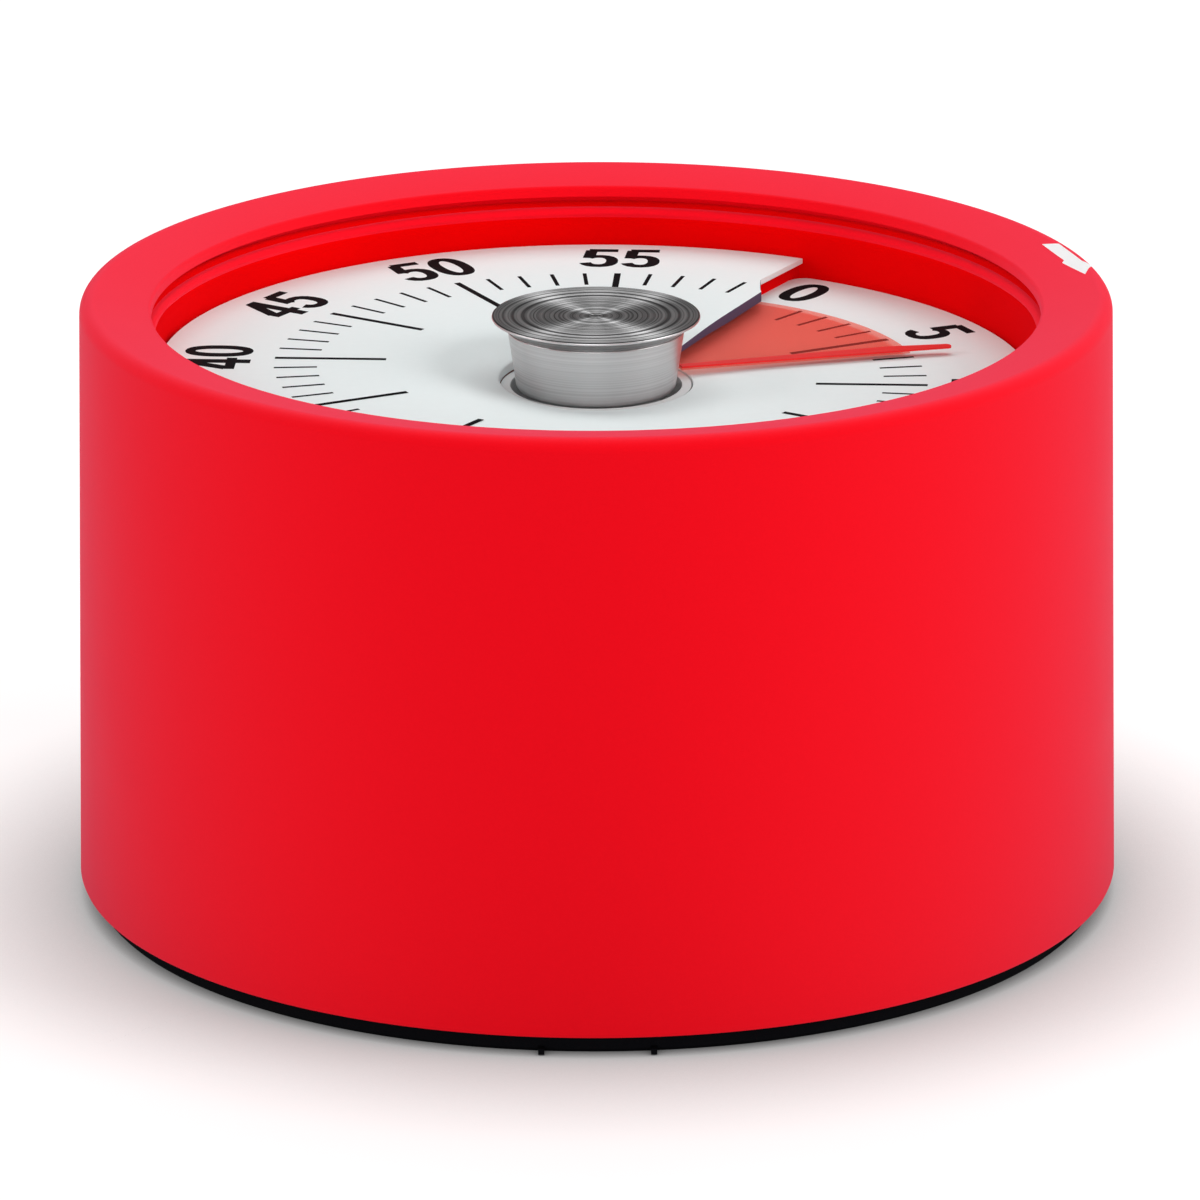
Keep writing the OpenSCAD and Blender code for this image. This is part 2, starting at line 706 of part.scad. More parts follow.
// A steel arbor whose pinion reaches from one height to another
module pinion_arbor(size, low, high) {
    translate([0, 0, rear_z + end_gap])
        cylinder(d = pivot_d, h = plate_top_z - rear_z - 2 * end_gap);
    translate([0, 0, rear_top_z + shoulder_gap])
        cylinder(d = seat_d, h = plate_gap - 2 * shoulder_gap);
    translate([0, 0, low])
        gear(pinion_teeth, size, backlash, high - low);
}

module great_wheel() {
    color("gold")
        translate([0, 0, great_z])
            rotate([0, 0, second_angle])
                spoked_wheel(great_teeth, great_module, great_t, arbor_core_d + 2 * slack, great_hub_d);
}

module second_wheel() {
    color("gold")
        translate(concat(second_at, second_z))
            rotate([0, 0, third_angle])
                spoked_wheel(second_teeth, train_module, wheel_t, seat_d + 2 * slack, wheel_hub_d);
}

module second_pinion() {
    color("lightsteelblue")
        translate(second_at)
            rotate([0, 0, second_angle + 180 + 180 / pinion_teeth])
                pinion_arbor(great_module, great_z - pinion_over, second_z);
}

module third_wheel() {
    color("gold")
        translate(concat(third_at, third_z))
            rotate([0, 0, escape_angle])
                spoked_wheel(third_teeth, train_module, wheel_t, seat_d + 2 * slack, wheel_hub_d);
}

module third_pinion() {
    color("lightsteelblue")
        translate(third_at)
            rotate([0, 0, third_angle + 180 + 180 / pinion_teeth])
                pinion_arbor(train_module, second_z - pinion_over, third_z);
}

module escape_pinion() {
    color("lightsteelblue")
        translate(escape_at)
            rotate([0, 0, escape_angle + 180 + 180 / pinion_teeth])
                pinion_arbor(train_module, third_z - pinion_over, escape_z);
}

module escape_wheel() {
    root_r = escape_r - escape_tooth_h;
    color("gold")
        translate(concat(escape_at, escape_z))
            difference() {
                // Each tooth leans forward, with its tip between 2 and 5 degrees
                linear_extrude(wheel_t)
                    polygon([for (k = [0 : escape_teeth - 1]) let (a = 360 / escape_teeth * k)
                             each [polar(root_r, a), polar(escape_r, a + 2), polar(escape_r, a + 5),
                                   polar(root_r + escape_back_h, a + 14)]]);
                translate([0, 0, -cut])
                    cylinder(d = seat_d + 2 * slack, h = wheel_t + 2 * cut);
            }
}

// ---------- escapement, spring and alarm ----------

// A plain arbor that runs in both plates
module plain_arbor(low) {
    translate([0, 0, low])
        cylinder(d = pivot_d, h = plate_top_z - low - end_gap);
    translate([0, 0, rear_top_z + shoulder_gap])
        cylinder(d = seat_d, h = plate_gap - 2 * shoulder_gap);
}

module anchor_arbor() {
    color("lightsteelblue")
        translate(anchor_at)
            plain_arbor(rear_z + end_gap);
}

module anchor() {
    inner = escape_r + anchor_gap;
    color("khaki")
        translate(concat(anchor_at, escape_z))
            rotate([0, 0, anchor_angle - 180])
                difference() {
                    linear_extrude(anchor_t)
                        difference() {
                            union() {
                                circle(d = boss_d);
                                translate([0, -lever_w / 2])
                                    square([anchor_reach - inner - pallet_w / 2, lever_w]);
                                intersection() {
                                    translate([anchor_reach, 0])
                                        circle(r = inner + pallet_w);
                                    translate([0, -pallet_half_span])
                                        square([anchor_reach - pallet_end, 2 * pallet_half_span]);
                                }
                            }
                            translate([anchor_reach, 0])
                                circle(r = inner);
                        }
                    translate([0, 0, -cut])
                        cylinder(d = seat_d + 2 * slack, h = anchor_t + 2 * cut);
                }
}

module balance_bar() {
    color("gold")
        translate(concat(anchor_at, escape_z + bar_lift))
            rotate([0, 0, bar_turn])
                difference() {
                    union() {
                        cylinder(d = boss_d, h = anchor_t);
                        translate([-bar_l / 2, -bar_w / 2, 0])
                            cube([bar_l, bar_w, anchor_t]);
                        for (side = [-1, 1])
                            translate([side * bar_l / 2, 0, 0])
                                cylinder(d = bar_weight_d, h = bar_weight_h);
                    }
                    translate([0, 0, -cut])
                        cylinder(d = seat_d + 2 * slack, h = anchor_t + 2 * cut);
                }
}

function coil_radius(turn) = spring_inner_r + (spring_r - spring_inner_r) * turn / spring_coils;

module mainspring() {
    turns = steps(0, spring_coils, 24 * spring_coils);
    color("steelblue")
        translate([0, 0, spring_z])
            linear_extrude(spring_w)
                polygon(concat([for (t = turns) polar(coil_radius(t), 180 + 360 * t)],
                               [for (k = [len(turns) - 1 : -1 : 0])
                                polar(coil_radius(turns[k]) + spring_t, 180 + 360 * turns[k])]));
}

module spring_stud() {
    color("silver")
        translate([-spring_r - spring_t - stud_d / 2 - stud_gap, 0, spring_z])
            cylinder(d = stud_d, h = front_z - spring_z);
}

module main_arbor() {
    color("lightsteelblue")
        union() {
            translate([0, 0, rear_z + end_gap])
                cylinder(d = rear_pivot_d, h = plate_t + fit_gap + bite);
            translate([0, 0, rear_top_z + fit_gap])
                cylinder(d = arbor_core_d, h = plate_gap - 2 * fit_gap);
            translate([0, 0, front_z - fit_gap - bite])
                cylinder(d = arbor_d, h = knob_core_top_z - core_roof - end_gap - front_z + fit_gap + bite);
        }
}

module arbor_clip() {
    color("silver")
        translate([0, 0, great_z + great_t + clutch_h + pivot_play])
            difference() {
                cylinder(d = clip_d, h = cam_z - great_z - great_t - clutch_h - 2 * pivot_play);
                translate([0, 0, -cut])
                    cylinder(d = arbor_core_d + 2 * slack, h = 3 * cut);
            }
}

module clutch_spring() {
    color("orange")
        translate([0, 0, great_z + great_t])
            difference() {
                union() {
                    cylinder(d = clip_d, h = clutch_h);
                    for (turn = [0, 120, 240])
                        rotate([0, 0, turn])
                            translate([0, -clutch_arm_w / 2, 0])
                                cube([clutch_arm_l, clutch_arm_w, 0.6 * clutch_h]);
                }
                translate([0, 0, -cut])
                    cylinder(d = arbor_core_d + 2 * slack, h = 3 * cut);
            }
}

module alarm_cam() {
    notch_angle = trip_tip_angle - rest_angle;
    color("khaki")
        translate([0, 0, cam_z])
            difference() {
                cylinder(r = cam_r, h = cam_t);
                translate([0, 0, -cut])
                    cylinder(d = arbor_core_d + 2 * slack, h = cam_t + 2 * cut);
                rotate([0, 0, notch_angle])
                    translate([cam_r - cam_notch_depth, -0.4 * cam_notch_w, -cut])
                        cube([cam_notch_depth + cut, cam_notch_w, cam_t + 2 * cut]);
            }
}

module trip_arbor() {
    color("lightsteelblue")
        translate(trip_at)
            plain_arbor(rear_z + end_gap);
}

module trip_lever() {
    tip = polar(cam_r + lever_gap + lever_w / 2, trip_tip_angle);
    tail = trip_at + polar(trip_tail_l, trip_tail_angle);
    color("khaki")
        difference() {
            union() {
                for (end = [tip, tail])
                    translate([0, 0, cam_z + lever_lift])
                        linear_extrude(lever_t)
                            arm(trip_at, end, lever_w);
                translate(concat(trip_at, cam_z + lever_lift))
                    cylinder(d = boss_d, h = lever_t);
            }
            translate(concat(trip_at, cam_z - cut))
                cylinder(d = seat_d + 2 * slack, h = lever_t + 3 * cut);
        }
}

// A flat arm with round ends
module arm(from, to, width) {
    along = to - from;
    translate(from)
        rotate([0, 0, atan2(along[1], along[0])]) {
            translate([0, -width / 2])
                square([norm(along), width]);
            translate([norm(along), 0])
                circle(d = width);
        }
}

module bell_post() {
    color("silver")
        union() {
            translate([0, 0, rear_z - bell_flange_t])
                cylinder(d = bell_flange_d, h = bell_flange_t);
            translate([0, 0, bell_apex_z + bell_t])
                cylinder(d = bell_post_d, h = rear_z - bell_apex_z - bell_t);
        }
}

module bell() {
    outer_r = bell_d / 2;
    inner_r = outer_r - bell_t;
    color("gainsboro")
        difference() {
            rotate_extrude()
                polygon(concat([[0, bell_apex_z]],
                               [for (a = steps(bell_crown, 90, 9))
                                [outer_r * sin(a), bell_rim_z - bell_h * cos(a) / cos(bell_crown)]],
                               [for (a = steps(90, bell_crown, 9))
                                [inner_r * sin(a), bell_rim_z - (bell_h - bell_t) * cos(a) / cos(bell_crown)]],
                               [[0, bell_apex_z + bell_t]]));
            translate([0, 0, bell_apex_z - cut])
                cylinder(d = bell_screw_d + 2 * pivot_play, h = bell_t + 2 * cut);
        }
}

module bell_screw() {
    color("dimgray")
        translate([0, 0, bell_apex_z])
            union() {
                translate([0, 0, -bell_screw_head_h])
                    cylinder(d = bell_screw_head_d, h = bell_screw_head_h);
                translate([0, 0, -bite])
                    cylinder(d = bell_screw_d, h = bell_t + bite);
            }
}

module hammer_arbor() {
    color("lightsteelblue")
        translate(hammer_at)
            plain_arbor(rear_z - hammer_drop);
}

module hammer() {
    head = polar(bell_d / 2 - bell_t - head_gap - hammer_d / 2, hammer_angle + hammer_sweep);
    color("khaki")
        difference() {
            union() {
                translate([0, 0, rear_z - hammer_drop])
                    linear_extrude(lever_t)
                        arm(hammer_at, head, hammer_arm_w);
                translate(concat(hammer_at, rear_z - hammer_drop))
                    cylinder(d = boss_d, h = lever_t);
                translate(concat(head, bell_rim_z - head_dip))
                    cylinder(d = hammer_d, h = head_dip + head_rise);
            }
            translate(concat(hammer_at, rear_z - hammer_drop - cut))
                cylinder(d = pivot_d + 2 * slack, h = lever_t + 2 * cut);
        }
}

module movement_screws() {
    color("dimgray")
        for (angle = lug_angles)
            translate(concat(polar(lug_screw_r, angle), front_z)) {
                translate([0, 0, -lug_screw_head_h])
                    cylinder(d = lug_screw_head_d, h = lug_screw_head_h);
                translate([0, 0, -bite])
                    cylinder(d = lug_screw_d, h = plate_t + bite);
            }
}

// ---------- knob and film ----------

module knob_cap() {
    top = knob_d / 2;
    side = knob_side_d / 2;
    foot = knob_foot_d / 2;
    lip_z = knob_top_z - knob_top_t;
    core_r = knob_core_d / 2;
    color("silver")
        rotate_extrude()
            polygon([[0, knob_top_z], [top - knob_edge, knob_top_z], [top, knob_top_z - knob_edge],
                     [top, lip_z + 0.4 * knob_edge], [top - 0.4 * knob_edge, lip_z], [side, lip_z],
                     [foot, knob_foot_z], [core_r, knob_foot_z], [core_r, knob_core_top_z],
                     [0, knob_core_top_z]]);
}

module knob_core() {
    color("darkslategray")
        translate([0, 0, knob_foot_z])
            difference() {
                cylinder(d = knob_core_d - 2 * slack, h = knob_core_top_z - knob_foot_z);
                translate([0, 0, -cut])
                    cylinder(d = arbor_d + 2 * slack, h = knob_core_top_z - knob_foot_z + cut - core_roof);
            }
}

// The film ends at the cup's wall, and inside the wall where it lies over the rim.
module film_disc() {
    start = rest_minutes - 60 + film_slit;
    over = (hub_rim_z + film_play - film_zero_z) * 60 / film_pitch;
    function section(minute, inner_r) =
        [minute, [[inner_r, film_height(minute)], [film_r, film_height(minute)]]];
    color([1, 0.15, 0.1, 0.8])
        wound_sheet(concat([for (m = steps(start, over, 60)) section(m, hub_r + slack)],
                           [for (m = steps(over + film_play, rest_minutes, 24)) section(m, film_root_r)]),
                    film_t);
}

module pointer() {
    root = film_root_r;
    taper = pointer_over + pointer_w;
    color("red")
        rotate([0, 0, minute_angle(rest_minutes)])
            translate([0, 0, film_rest_z + film_t])
                linear_extrude(pointer_t)
                    polygon([[root, 0], [pointer_r, 0], [pointer_r, pointer_w / 5],
                             [pointer_r - taper, pointer_w], [root, pointer_w * 0.6]]);
}

module film_hub() {
    color([0.9, 0.9, 0.9])
        translate([0, 0, hub_floor_z])
            difference() {
                cylinder(r = hub_r, h = hub_rim_z - hub_floor_z);
                translate([0, 0, hub_floor])
                    cylinder(r = hub_r - hub_wall, h = hub_rim_z - hub_floor_z);
                translate([0, 0, -cut])
                    cylinder(d = arbor_d + 2 * pivot_play, h = hub_floor + 2 * cut);
            }
}

outer_shell();
bezel_ring();
dial_plate();
base_cover();
base_screws();
front_plate();
rear_plate();
plate_pillars();
pillar_nuts();
movement_screws();
spring_stud();
mainspring();
bell_post();
bell();
bell_screw();
knob_cap();
knob_core();
main_arbor();
arbor_clip();
alarm_cam();
great_wheel();
clutch_spring();
film_disc();
pointer();
film_hub();
second_wheel();
second_pinion();
third_wheel();
third_pinion();
escape_wheel();
escape_pinion();
anchor();
anchor_arbor();
balance_bar();
hammer();
hammer_arbor();
trip_lever();
trip_arbor();
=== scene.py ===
"""A visual countdown timer: fine meshes, print and finishes round its packed construction.

Every length is in metres, in the frame of the construction: +Z is up and the origin is the
centre of the underside. Azimuths run clockwise from +Y, seen from above, as the minutes do.
"""

import logging
import math
from collections.abc import Callable, Sequence
from dataclasses import dataclass, field
from enum import Enum

import bmesh
import bpy
from mathutils import Matrix, Vector
from mathutils.geometry import delaunay_2d_cdt


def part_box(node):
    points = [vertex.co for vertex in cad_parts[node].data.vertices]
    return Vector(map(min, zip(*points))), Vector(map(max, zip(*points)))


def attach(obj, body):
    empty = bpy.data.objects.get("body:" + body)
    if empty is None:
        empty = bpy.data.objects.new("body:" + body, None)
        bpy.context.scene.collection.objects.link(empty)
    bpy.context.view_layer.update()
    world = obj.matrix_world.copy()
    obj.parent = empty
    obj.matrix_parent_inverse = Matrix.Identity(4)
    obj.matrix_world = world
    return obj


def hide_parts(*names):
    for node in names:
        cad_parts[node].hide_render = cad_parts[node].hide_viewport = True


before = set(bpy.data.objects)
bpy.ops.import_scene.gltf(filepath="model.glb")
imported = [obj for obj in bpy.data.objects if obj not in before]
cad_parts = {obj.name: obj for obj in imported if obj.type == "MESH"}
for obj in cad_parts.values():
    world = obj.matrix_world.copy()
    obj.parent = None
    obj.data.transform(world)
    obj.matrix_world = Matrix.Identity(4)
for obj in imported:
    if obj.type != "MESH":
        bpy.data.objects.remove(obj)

LOG = logging.getLogger("timer")
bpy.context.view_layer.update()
MM = 0.001
ROUND_STEPS = 320
TURNED_CREASE = 50.0
MERGE = 1e-7
SKIN_DEPTH = 0.002 * MM

Point2 = tuple[float, float]
Height = Callable[[float, float], float]
Colour = tuple[float, float, float]


# ---------- small geometry ----------


def clamp(share: float) -> float:
    """Keeps a share between 0 and 1."""
    return max(0.0, min(1.0, share))


def spaced(start: float, end: float, count: int) -> list[float]:
    """Lists values from a start, which is left out, to an end."""
    return [start + (end - start) * (k + 1) / count for k in range(count)]


def polar(radius: float, azimuth: float, height: float) -> Vector:
    """Gives a point from its radius, its azimuth in degrees and its height."""
    turn = math.radians(azimuth)
    return Vector((radius * math.sin(turn), radius * math.cos(turn), height))


def arc(centre: Point2, radius: float, start: float, end: float, count: int) -> list[Point2]:
    """Lists points along a round stretch of an outline.

    Args:
        centre: Middle of the arc.
        radius: Radius of the arc.
        start: Angle of the first point, in degrees from the first axis.
        end: Angle of the last point.
        count: Number of steps between them.

    Returns:
        The points, with both ends.
    """
    angles = [math.radians(start + (end - start) * k / count) for k in range(count + 1)]
    return [(centre[0] + radius * math.cos(a), centre[1] + radius * math.sin(a)) for a in angles]


def rounded(corners: Sequence[tuple[float, float, float]], count: int = 6) -> list[Point2]:
    """Rounds the corners of a closed outline.

    Args:
        corners: Each corner as its two coordinates and its radius; 0 keeps it sharp.
        count: Steps along each round corner.

    Returns:
        The outline's points.
    """
    points: list[Point2] = []
    total = len(corners)
    for k, (x, y, radius) in enumerate(corners):
        here = Vector((x, y))
        if radius <= 0:
            points.append((x, y))
            continue
        before = (Vector(corners[k - 1][:2]) - here).normalized()
        after = (Vector(corners[(k + 1) % total][:2]) - here).normalized()
        half = before.angle(after) / 2
        middle = here + (before + after).normalized() * radius / math.sin(half)
        reach = radius / math.tan(half)
        first = here + before * reach - middle
        last = here + after * reach - middle
        for step in range(count + 1):
            spoke = first.lerp(last, step / count).normalized() * radius
            points.append(tuple(middle + spoke))
    return points


def link(name: str, data: bpy.types.ID | None) -> bpy.types.Object:
    """Makes an object of some data and links it to the scene."""
    obj = bpy.data.objects.new(name, data)
    bpy.context.scene.collection.objects.link(obj)
    return obj


def new_object(name: str, points: Sequence[Sequence[float]], faces: Sequence[Sequence[int]],
               crease: float = 35.0) -> bpy.types.Object:
    """Makes a mesh object with outward normals, smooth apart from its creases.

    Args:
        name: Name of the object.
        points: The mesh's points.
        faces: The faces, as indices of points.
        crease: Angle in degrees above which an edge stays sharp.

    Returns:
        The object, linked to the scene.
    """
    mesh = bpy.data.meshes.new(name)
    mesh.from_pydata([tuple(p) for p in points], [], [tuple(f) for f in faces])
    obj = link(name, mesh)
    tidy_mesh(obj, crease)
    return obj


def tidy_mesh(obj: bpy.types.Object, crease: float = 35.0) -> None:
    """Merges doubled points, turns the faces outwards and shades the mesh smooth.

    Args:
        obj: The mesh object.
        crease: Angle in degrees above which an edge stays sharp.
    """
    work = bmesh.new()
    work.from_mesh(obj.data)
    bmesh.ops.remove_doubles(work, verts=work.verts, dist=MERGE)
    bmesh.ops.recalc_face_normals(work, faces=work.faces)
    work.to_mesh(obj.data)
    work.free()
    obj.data.shade_smooth()
    obj.data.set_sharp_from_angle(angle=math.radians(crease))


def lathe(name: str, profile: Sequence[Point2], segments: int = 256,
          crease: float = 35.0) -> bpy.types.Object:
    """Turns a closed profile round the Z axis.

    Args:
        name: Name of the object.
        profile: Points as radius and height; those at radius 0 become poles.
        segments: Facets round the axis.
        crease: Angle in degrees above which an edge stays sharp.

    Returns:
        The turned piece.
    """
    points: list[Vector] = []
    rings: list[list[int]] = []
    for radius, height in profile:
        count = 1 if radius < 1e-8 else segments
        rings.append(list(range(len(points), len(points) + count)))
        points.extend(polar(radius, 360 * k / segments, height) for k in range(count))
    faces = []
    for here, there in zip(rings, rings[1:] + rings[:1]):
        if len(here) == 1 and len(there) == 1:
            continue
        for k in range(segments):
            after = (k + 1) % segments
            quad = [here[k % len(here)], here[after % len(here)],
                    there[after % len(there)], there[k % len(there)]]
            faces.append(list(dict.fromkeys(quad)))
    return new_object(name, points, faces, crease)


def fill_outline(outline: Sequence[Point2], inner: Sequence[Point2] = ()) -> tuple[list, list]:
    """Triangulates a closed outline, with loose points inside it if wanted.

    Args:
        outline: The outline's points in order.
        inner: Points inside the outline that the triangles use too.

    Returns:
        The points and the triangles.
    """
    loop = list(range(len(outline)))
    flat = [Vector(p) for p in [*outline, *inner]]
    points, _, triangles, *_ = delaunay_2d_cdt(flat, [], [loop], 1, 1e-9)
    return points, triangles


def thicken(name: str, points: Sequence[Vector], triangles: Sequence[Sequence[int]],
            place: Callable[[float, float, float], Vector], thickness: float) -> bpy.types.Object:
    """Makes a closed sheet from a flat triangulation.

    Args:
        name: Name of the object.
        points: The flat points.
        triangles: Triangles over them.
        place: Puts a flat point, at a height over the sheet's underside, in space.
        thickness: Thickness of the sheet.

    Returns:
        The sheet, with its walls.
    """
    count = len(points)
    solid = [place(p[0], p[1], 0.0) for p in points] + [place(p[0], p[1], thickness) for p in points]
    faces = [tuple(reversed(t)) for t in triangles] + [tuple(k + count for k in t) for t in triangles]
    edges: dict[tuple[int, int], int] = {}
    for triangle in triangles:
        for a, b in zip(triangle, (*triangle[1:], triangle[0])):
            edges[(a, b)] = edges.get((a, b), 0) + 1
    faces += [(a, b, b + count, a + count) for a, b in edges if (b, a) not in edges]
    return new_object(name, solid, faces)


# ---------- node trees ----------


class Wiring:
    """Adds nodes to one tree and joins them."""

    def __init__(self, tree: bpy.types.NodeTree) -> None:
        """Keeps the tree that the nodes go into."""
        self.tree = tree

    def add(self, kind: str, inputs: dict | None = None, **settings: object) -> bpy.types.Node:
        """Adds one node.

        Args:
            kind: Blender's name for the node's type.
            inputs: What goes into its sockets, by name or index: a value or another socket.
            **settings: The node's own settings.

        Returns:
            The node.
        """
        node = self.tree.nodes.new(kind)
        for key, value in settings.items():
            setattr(node, key, value)
        for key, value in (inputs or {}).items():
            self.feed(node.inputs[key], value)
        return node

    def feed(self, socket: bpy.types.NodeSocket, value: object) -> None:
        """Joins a socket to the one that feeds it, or gives it a plain value."""
        if isinstance(value, bpy.types.NodeSocket):
            self.tree.links.new(value, socket)
        else:
            socket.default_value = value

    def calc(self, operation: str, first: object, second: object = 0.0) -> bpy.types.NodeSocket:
        """Adds one sum, and gives the socket with its result.

        Args:
            operation: Blender's name for the sum.
            first: First value or socket.
            second: Second value or socket.

        Returns:
            The result's socket.
        """
        kind = "ShaderNodeMath"
        return self.add(kind, {0: first, 1: second}, operation=operation).outputs[0]


def open_effect(name: str, numbers: dict[str, float],
                outputs: Sequence[str]) -> tuple[Wiring, bpy.types.Node, bpy.types.Node]:
    """Starts a shader node group whose sockets all carry numbers.

    Args:
        name: Name of the group.
        numbers: Default value of each input, by name.
        outputs: Names of the outputs.

    Returns:
        The wiring of the group, its input node and its output node.
    """
    tree = bpy.data.node_groups.new(name, "ShaderNodeTree")
    for label, value in numbers.items():
        socket = tree.interface.new_socket(label, in_out="INPUT", socket_type="NodeSocketFloat")
        socket.default_value = value
    for label in outputs:
        tree.interface.new_socket(label, in_out="OUTPUT", socket_type="NodeSocketFloat")
    wiring = Wiring(tree)
    return wiring, wiring.add("NodeGroupInput"), wiring.add("NodeGroupOutput")


def open_shape(name: str, sizes: Sequence[str]) -> tuple[Wiring, bpy.types.Node]:
    """Starts a geometry node tree with a number for each size and a material.

    Args:
        name: Name of the tree.
        sizes: Names of its sizes.

    Returns:
        The wiring of the tree and its input node.
    """
    tree = bpy.data.node_groups.new(name, "GeometryNodeTree")
    for label in sizes:
        tree.interface.new_socket(label, in_out="INPUT", socket_type="NodeSocketFloat")
    tree.interface.new_socket("Finish", in_out="INPUT", socket_type="NodeSocketMaterial")
    tree.interface.new_socket("Geometry", in_out="OUTPUT", socket_type="NodeSocketGeometry")
    wiring = Wiring(tree)
    return wiring, wiring.add("NodeGroupInput")


def close_shape(w: Wiring, given: bpy.types.Node, shape: bpy.types.NodeSocket) -> bpy.types.NodeTree:
    """Ends a geometry node tree with plain faces in its material.

    Args:
        w: Wiring of the tree.
        given: Its input node.
        shape: The geometry to put out.

    Returns:
        The tree.
    """
    real = w.add("GeometryNodeRealizeInstances", {"Geometry": shape})
    dressed = w.add("GeometryNodeSetMaterial", {"Geometry": real.outputs[0],
                                                "Material": given.outputs["Finish"]})
    w.add("NodeGroupOutput", {"Geometry": dressed.outputs[0]})
    return w.tree


class Effect(Enum):
    """Effects that several finishes share, each a shader node group."""

    FINE_GRAIN = "fine_grain"
    HANDLING = "handling"
    TURNED_LINES = "turned_lines"
    EDGE_WEAR = "edge_wear"

    def group(self) -> bpy.types.NodeTree:
        """Gives the effect's node group, which is built on first use."""
        found = bpy.data.node_groups.get(self.value)
        if found:
            return found
        builders = {Effect.FINE_GRAIN: build_fine_grain, Effect.HANDLING: build_handling,
                    Effect.TURNED_LINES: build_turned_lines, Effect.EDGE_WEAR: build_edge_wear}
        return builders[self](self.value)


def build_fine_grain(name: str) -> bpy.types.NodeTree:
    """Builds the grain of a moulded or painted skin: small rounded bumps and a fleck mask."""
    w, given, out = open_effect(name, {"Scale": 4000.0, "Fleck": 0.5}, ("Height", "Mask"))
    at = w.add("ShaderNodeTexCoord").outputs["Object"]
    noise = w.add("ShaderNodeTexNoise", {"Vector": at, "Scale": given.outputs["Scale"],
                                         "Detail": 3.0, "Roughness": 0.55})
    cells = w.add("ShaderNodeTexVoronoi", {"Vector": at, "Scale": given.outputs["Scale"]},
                  feature="SMOOTH_F1")
    mixed = w.calc("MULTIPLY_ADD", cells.outputs["Distance"], given.outputs["Fleck"])
    w.feed(mixed.node.inputs[2], noise.outputs["Fac"])
    w.feed(out.inputs["Height"], mixed)
    w.feed(out.inputs["Mask"], noise.outputs["Fac"])
    return w.tree


def build_handling(name: str) -> bpy.types.NodeTree:
    """Builds the slow change that fingers leave in a surface's gloss."""
    w, given, out = open_effect(name, {"Scale": 90.0, "Low": 0.4, "High": 0.5}, ("Value", "Mask"))
    at = w.add("ShaderNodeTexCoord").outputs["Object"]
    broad = w.add("ShaderNodeTexNoise", {"Vector": at, "Scale": given.outputs["Scale"],
                                         "Detail": 4.0, "Roughness": 0.6, "Distortion": 0.4})
    mask = w.add("ShaderNodeMapRange", {"Value": broad.outputs["Fac"], "From Min": 0.3,
                                        "From Max": 0.7})
    value = w.add("ShaderNodeMapRange", {"Value": mask.outputs["Result"],
                                         "To Min": given.outputs["Low"],
                                         "To Max": given.outputs["High"]})
    w.feed(out.inputs["Value"], value.outputs["Result"])
    w.feed(out.inputs["Mask"], mask.outputs["Result"])
    return w.tree


def build_turned_lines(name: str) -> bpy.types.NodeTree:
    """Builds the fine rings that a lathe tool leaves round the Z axis."""
    numbers = {"Pitch": 0.3 * MM, "Centre X": 0.0, "Centre Y": 0.0, "Along Z": 0.0}
    w, given, out = open_effect(name, numbers, ("Height", "Mask"))
    at = w.add("ShaderNodeTexCoord").outputs["Object"]
    parts = w.add("ShaderNodeSeparateXYZ", {0: at})
    x = w.calc("SUBTRACT", parts.outputs["X"], given.outputs["Centre X"])
    y = w.calc("SUBTRACT", parts.outputs["Y"], given.outputs["Centre Y"])
    radius = w.calc("SQRT", w.calc("ADD", w.calc("MULTIPLY", x, x), w.calc("MULTIPLY", y, y)))
    along = w.calc("MULTIPLY", parts.outputs["Z"], given.outputs["Along Z"])
    lines = w.calc("DIVIDE", w.calc("ADD", radius, along), given.outputs["Pitch"])
    noise = w.add("ShaderNodeTexNoise", {"W": lines, "Scale": 1.0, "Detail": 4.0,
                                         "Roughness": 0.75}, noise_dimensions="1D")
    coarse = w.add("ShaderNodeTexNoise", {"W": lines, "Scale": 0.45, "Detail": 1.0},
                   noise_dimensions="1D")
    w.feed(out.inputs["Height"], noise.outputs["Fac"])
    uneven = w.calc("MULTIPLY", noise.outputs["Fac"], coarse.outputs["Fac"])
    rings = w.add("ShaderNodeMapRange", {"Value": uneven, "From Min": 0.14, "From Max": 0.36})
    w.feed(out.inputs["Mask"], rings.outputs["Result"])
    return w.tree


def build_edge_wear(name: str) -> bpy.types.NodeTree:
    """Builds a mask that is high along outward edges, broken up by small marks."""
    w, given, out = open_effect(name, {"Scale": 900.0, "Amount": 0.3}, ("Mask",))
    at = w.add("ShaderNodeTexCoord").outputs["Object"]
    shape = w.add("ShaderNodeNewGeometry")
    edge = w.add("ShaderNodeMapRange", {"Value": shape.outputs["Pointiness"], "From Min": 0.51,
                                        "From Max": 0.56})
    marks = w.add("ShaderNodeTexNoise", {"Vector": at, "Scale": given.outputs["Scale"],
                                         "Detail": 5.0})
    broken = w.calc("MULTIPLY", edge.outputs["Result"], marks.outputs["Fac"])
    w.feed(out.inputs["Mask"], w.calc("MULTIPLY", broken, given.outputs["Amount"]))
    return w.tree


# ---------- finishes ----------


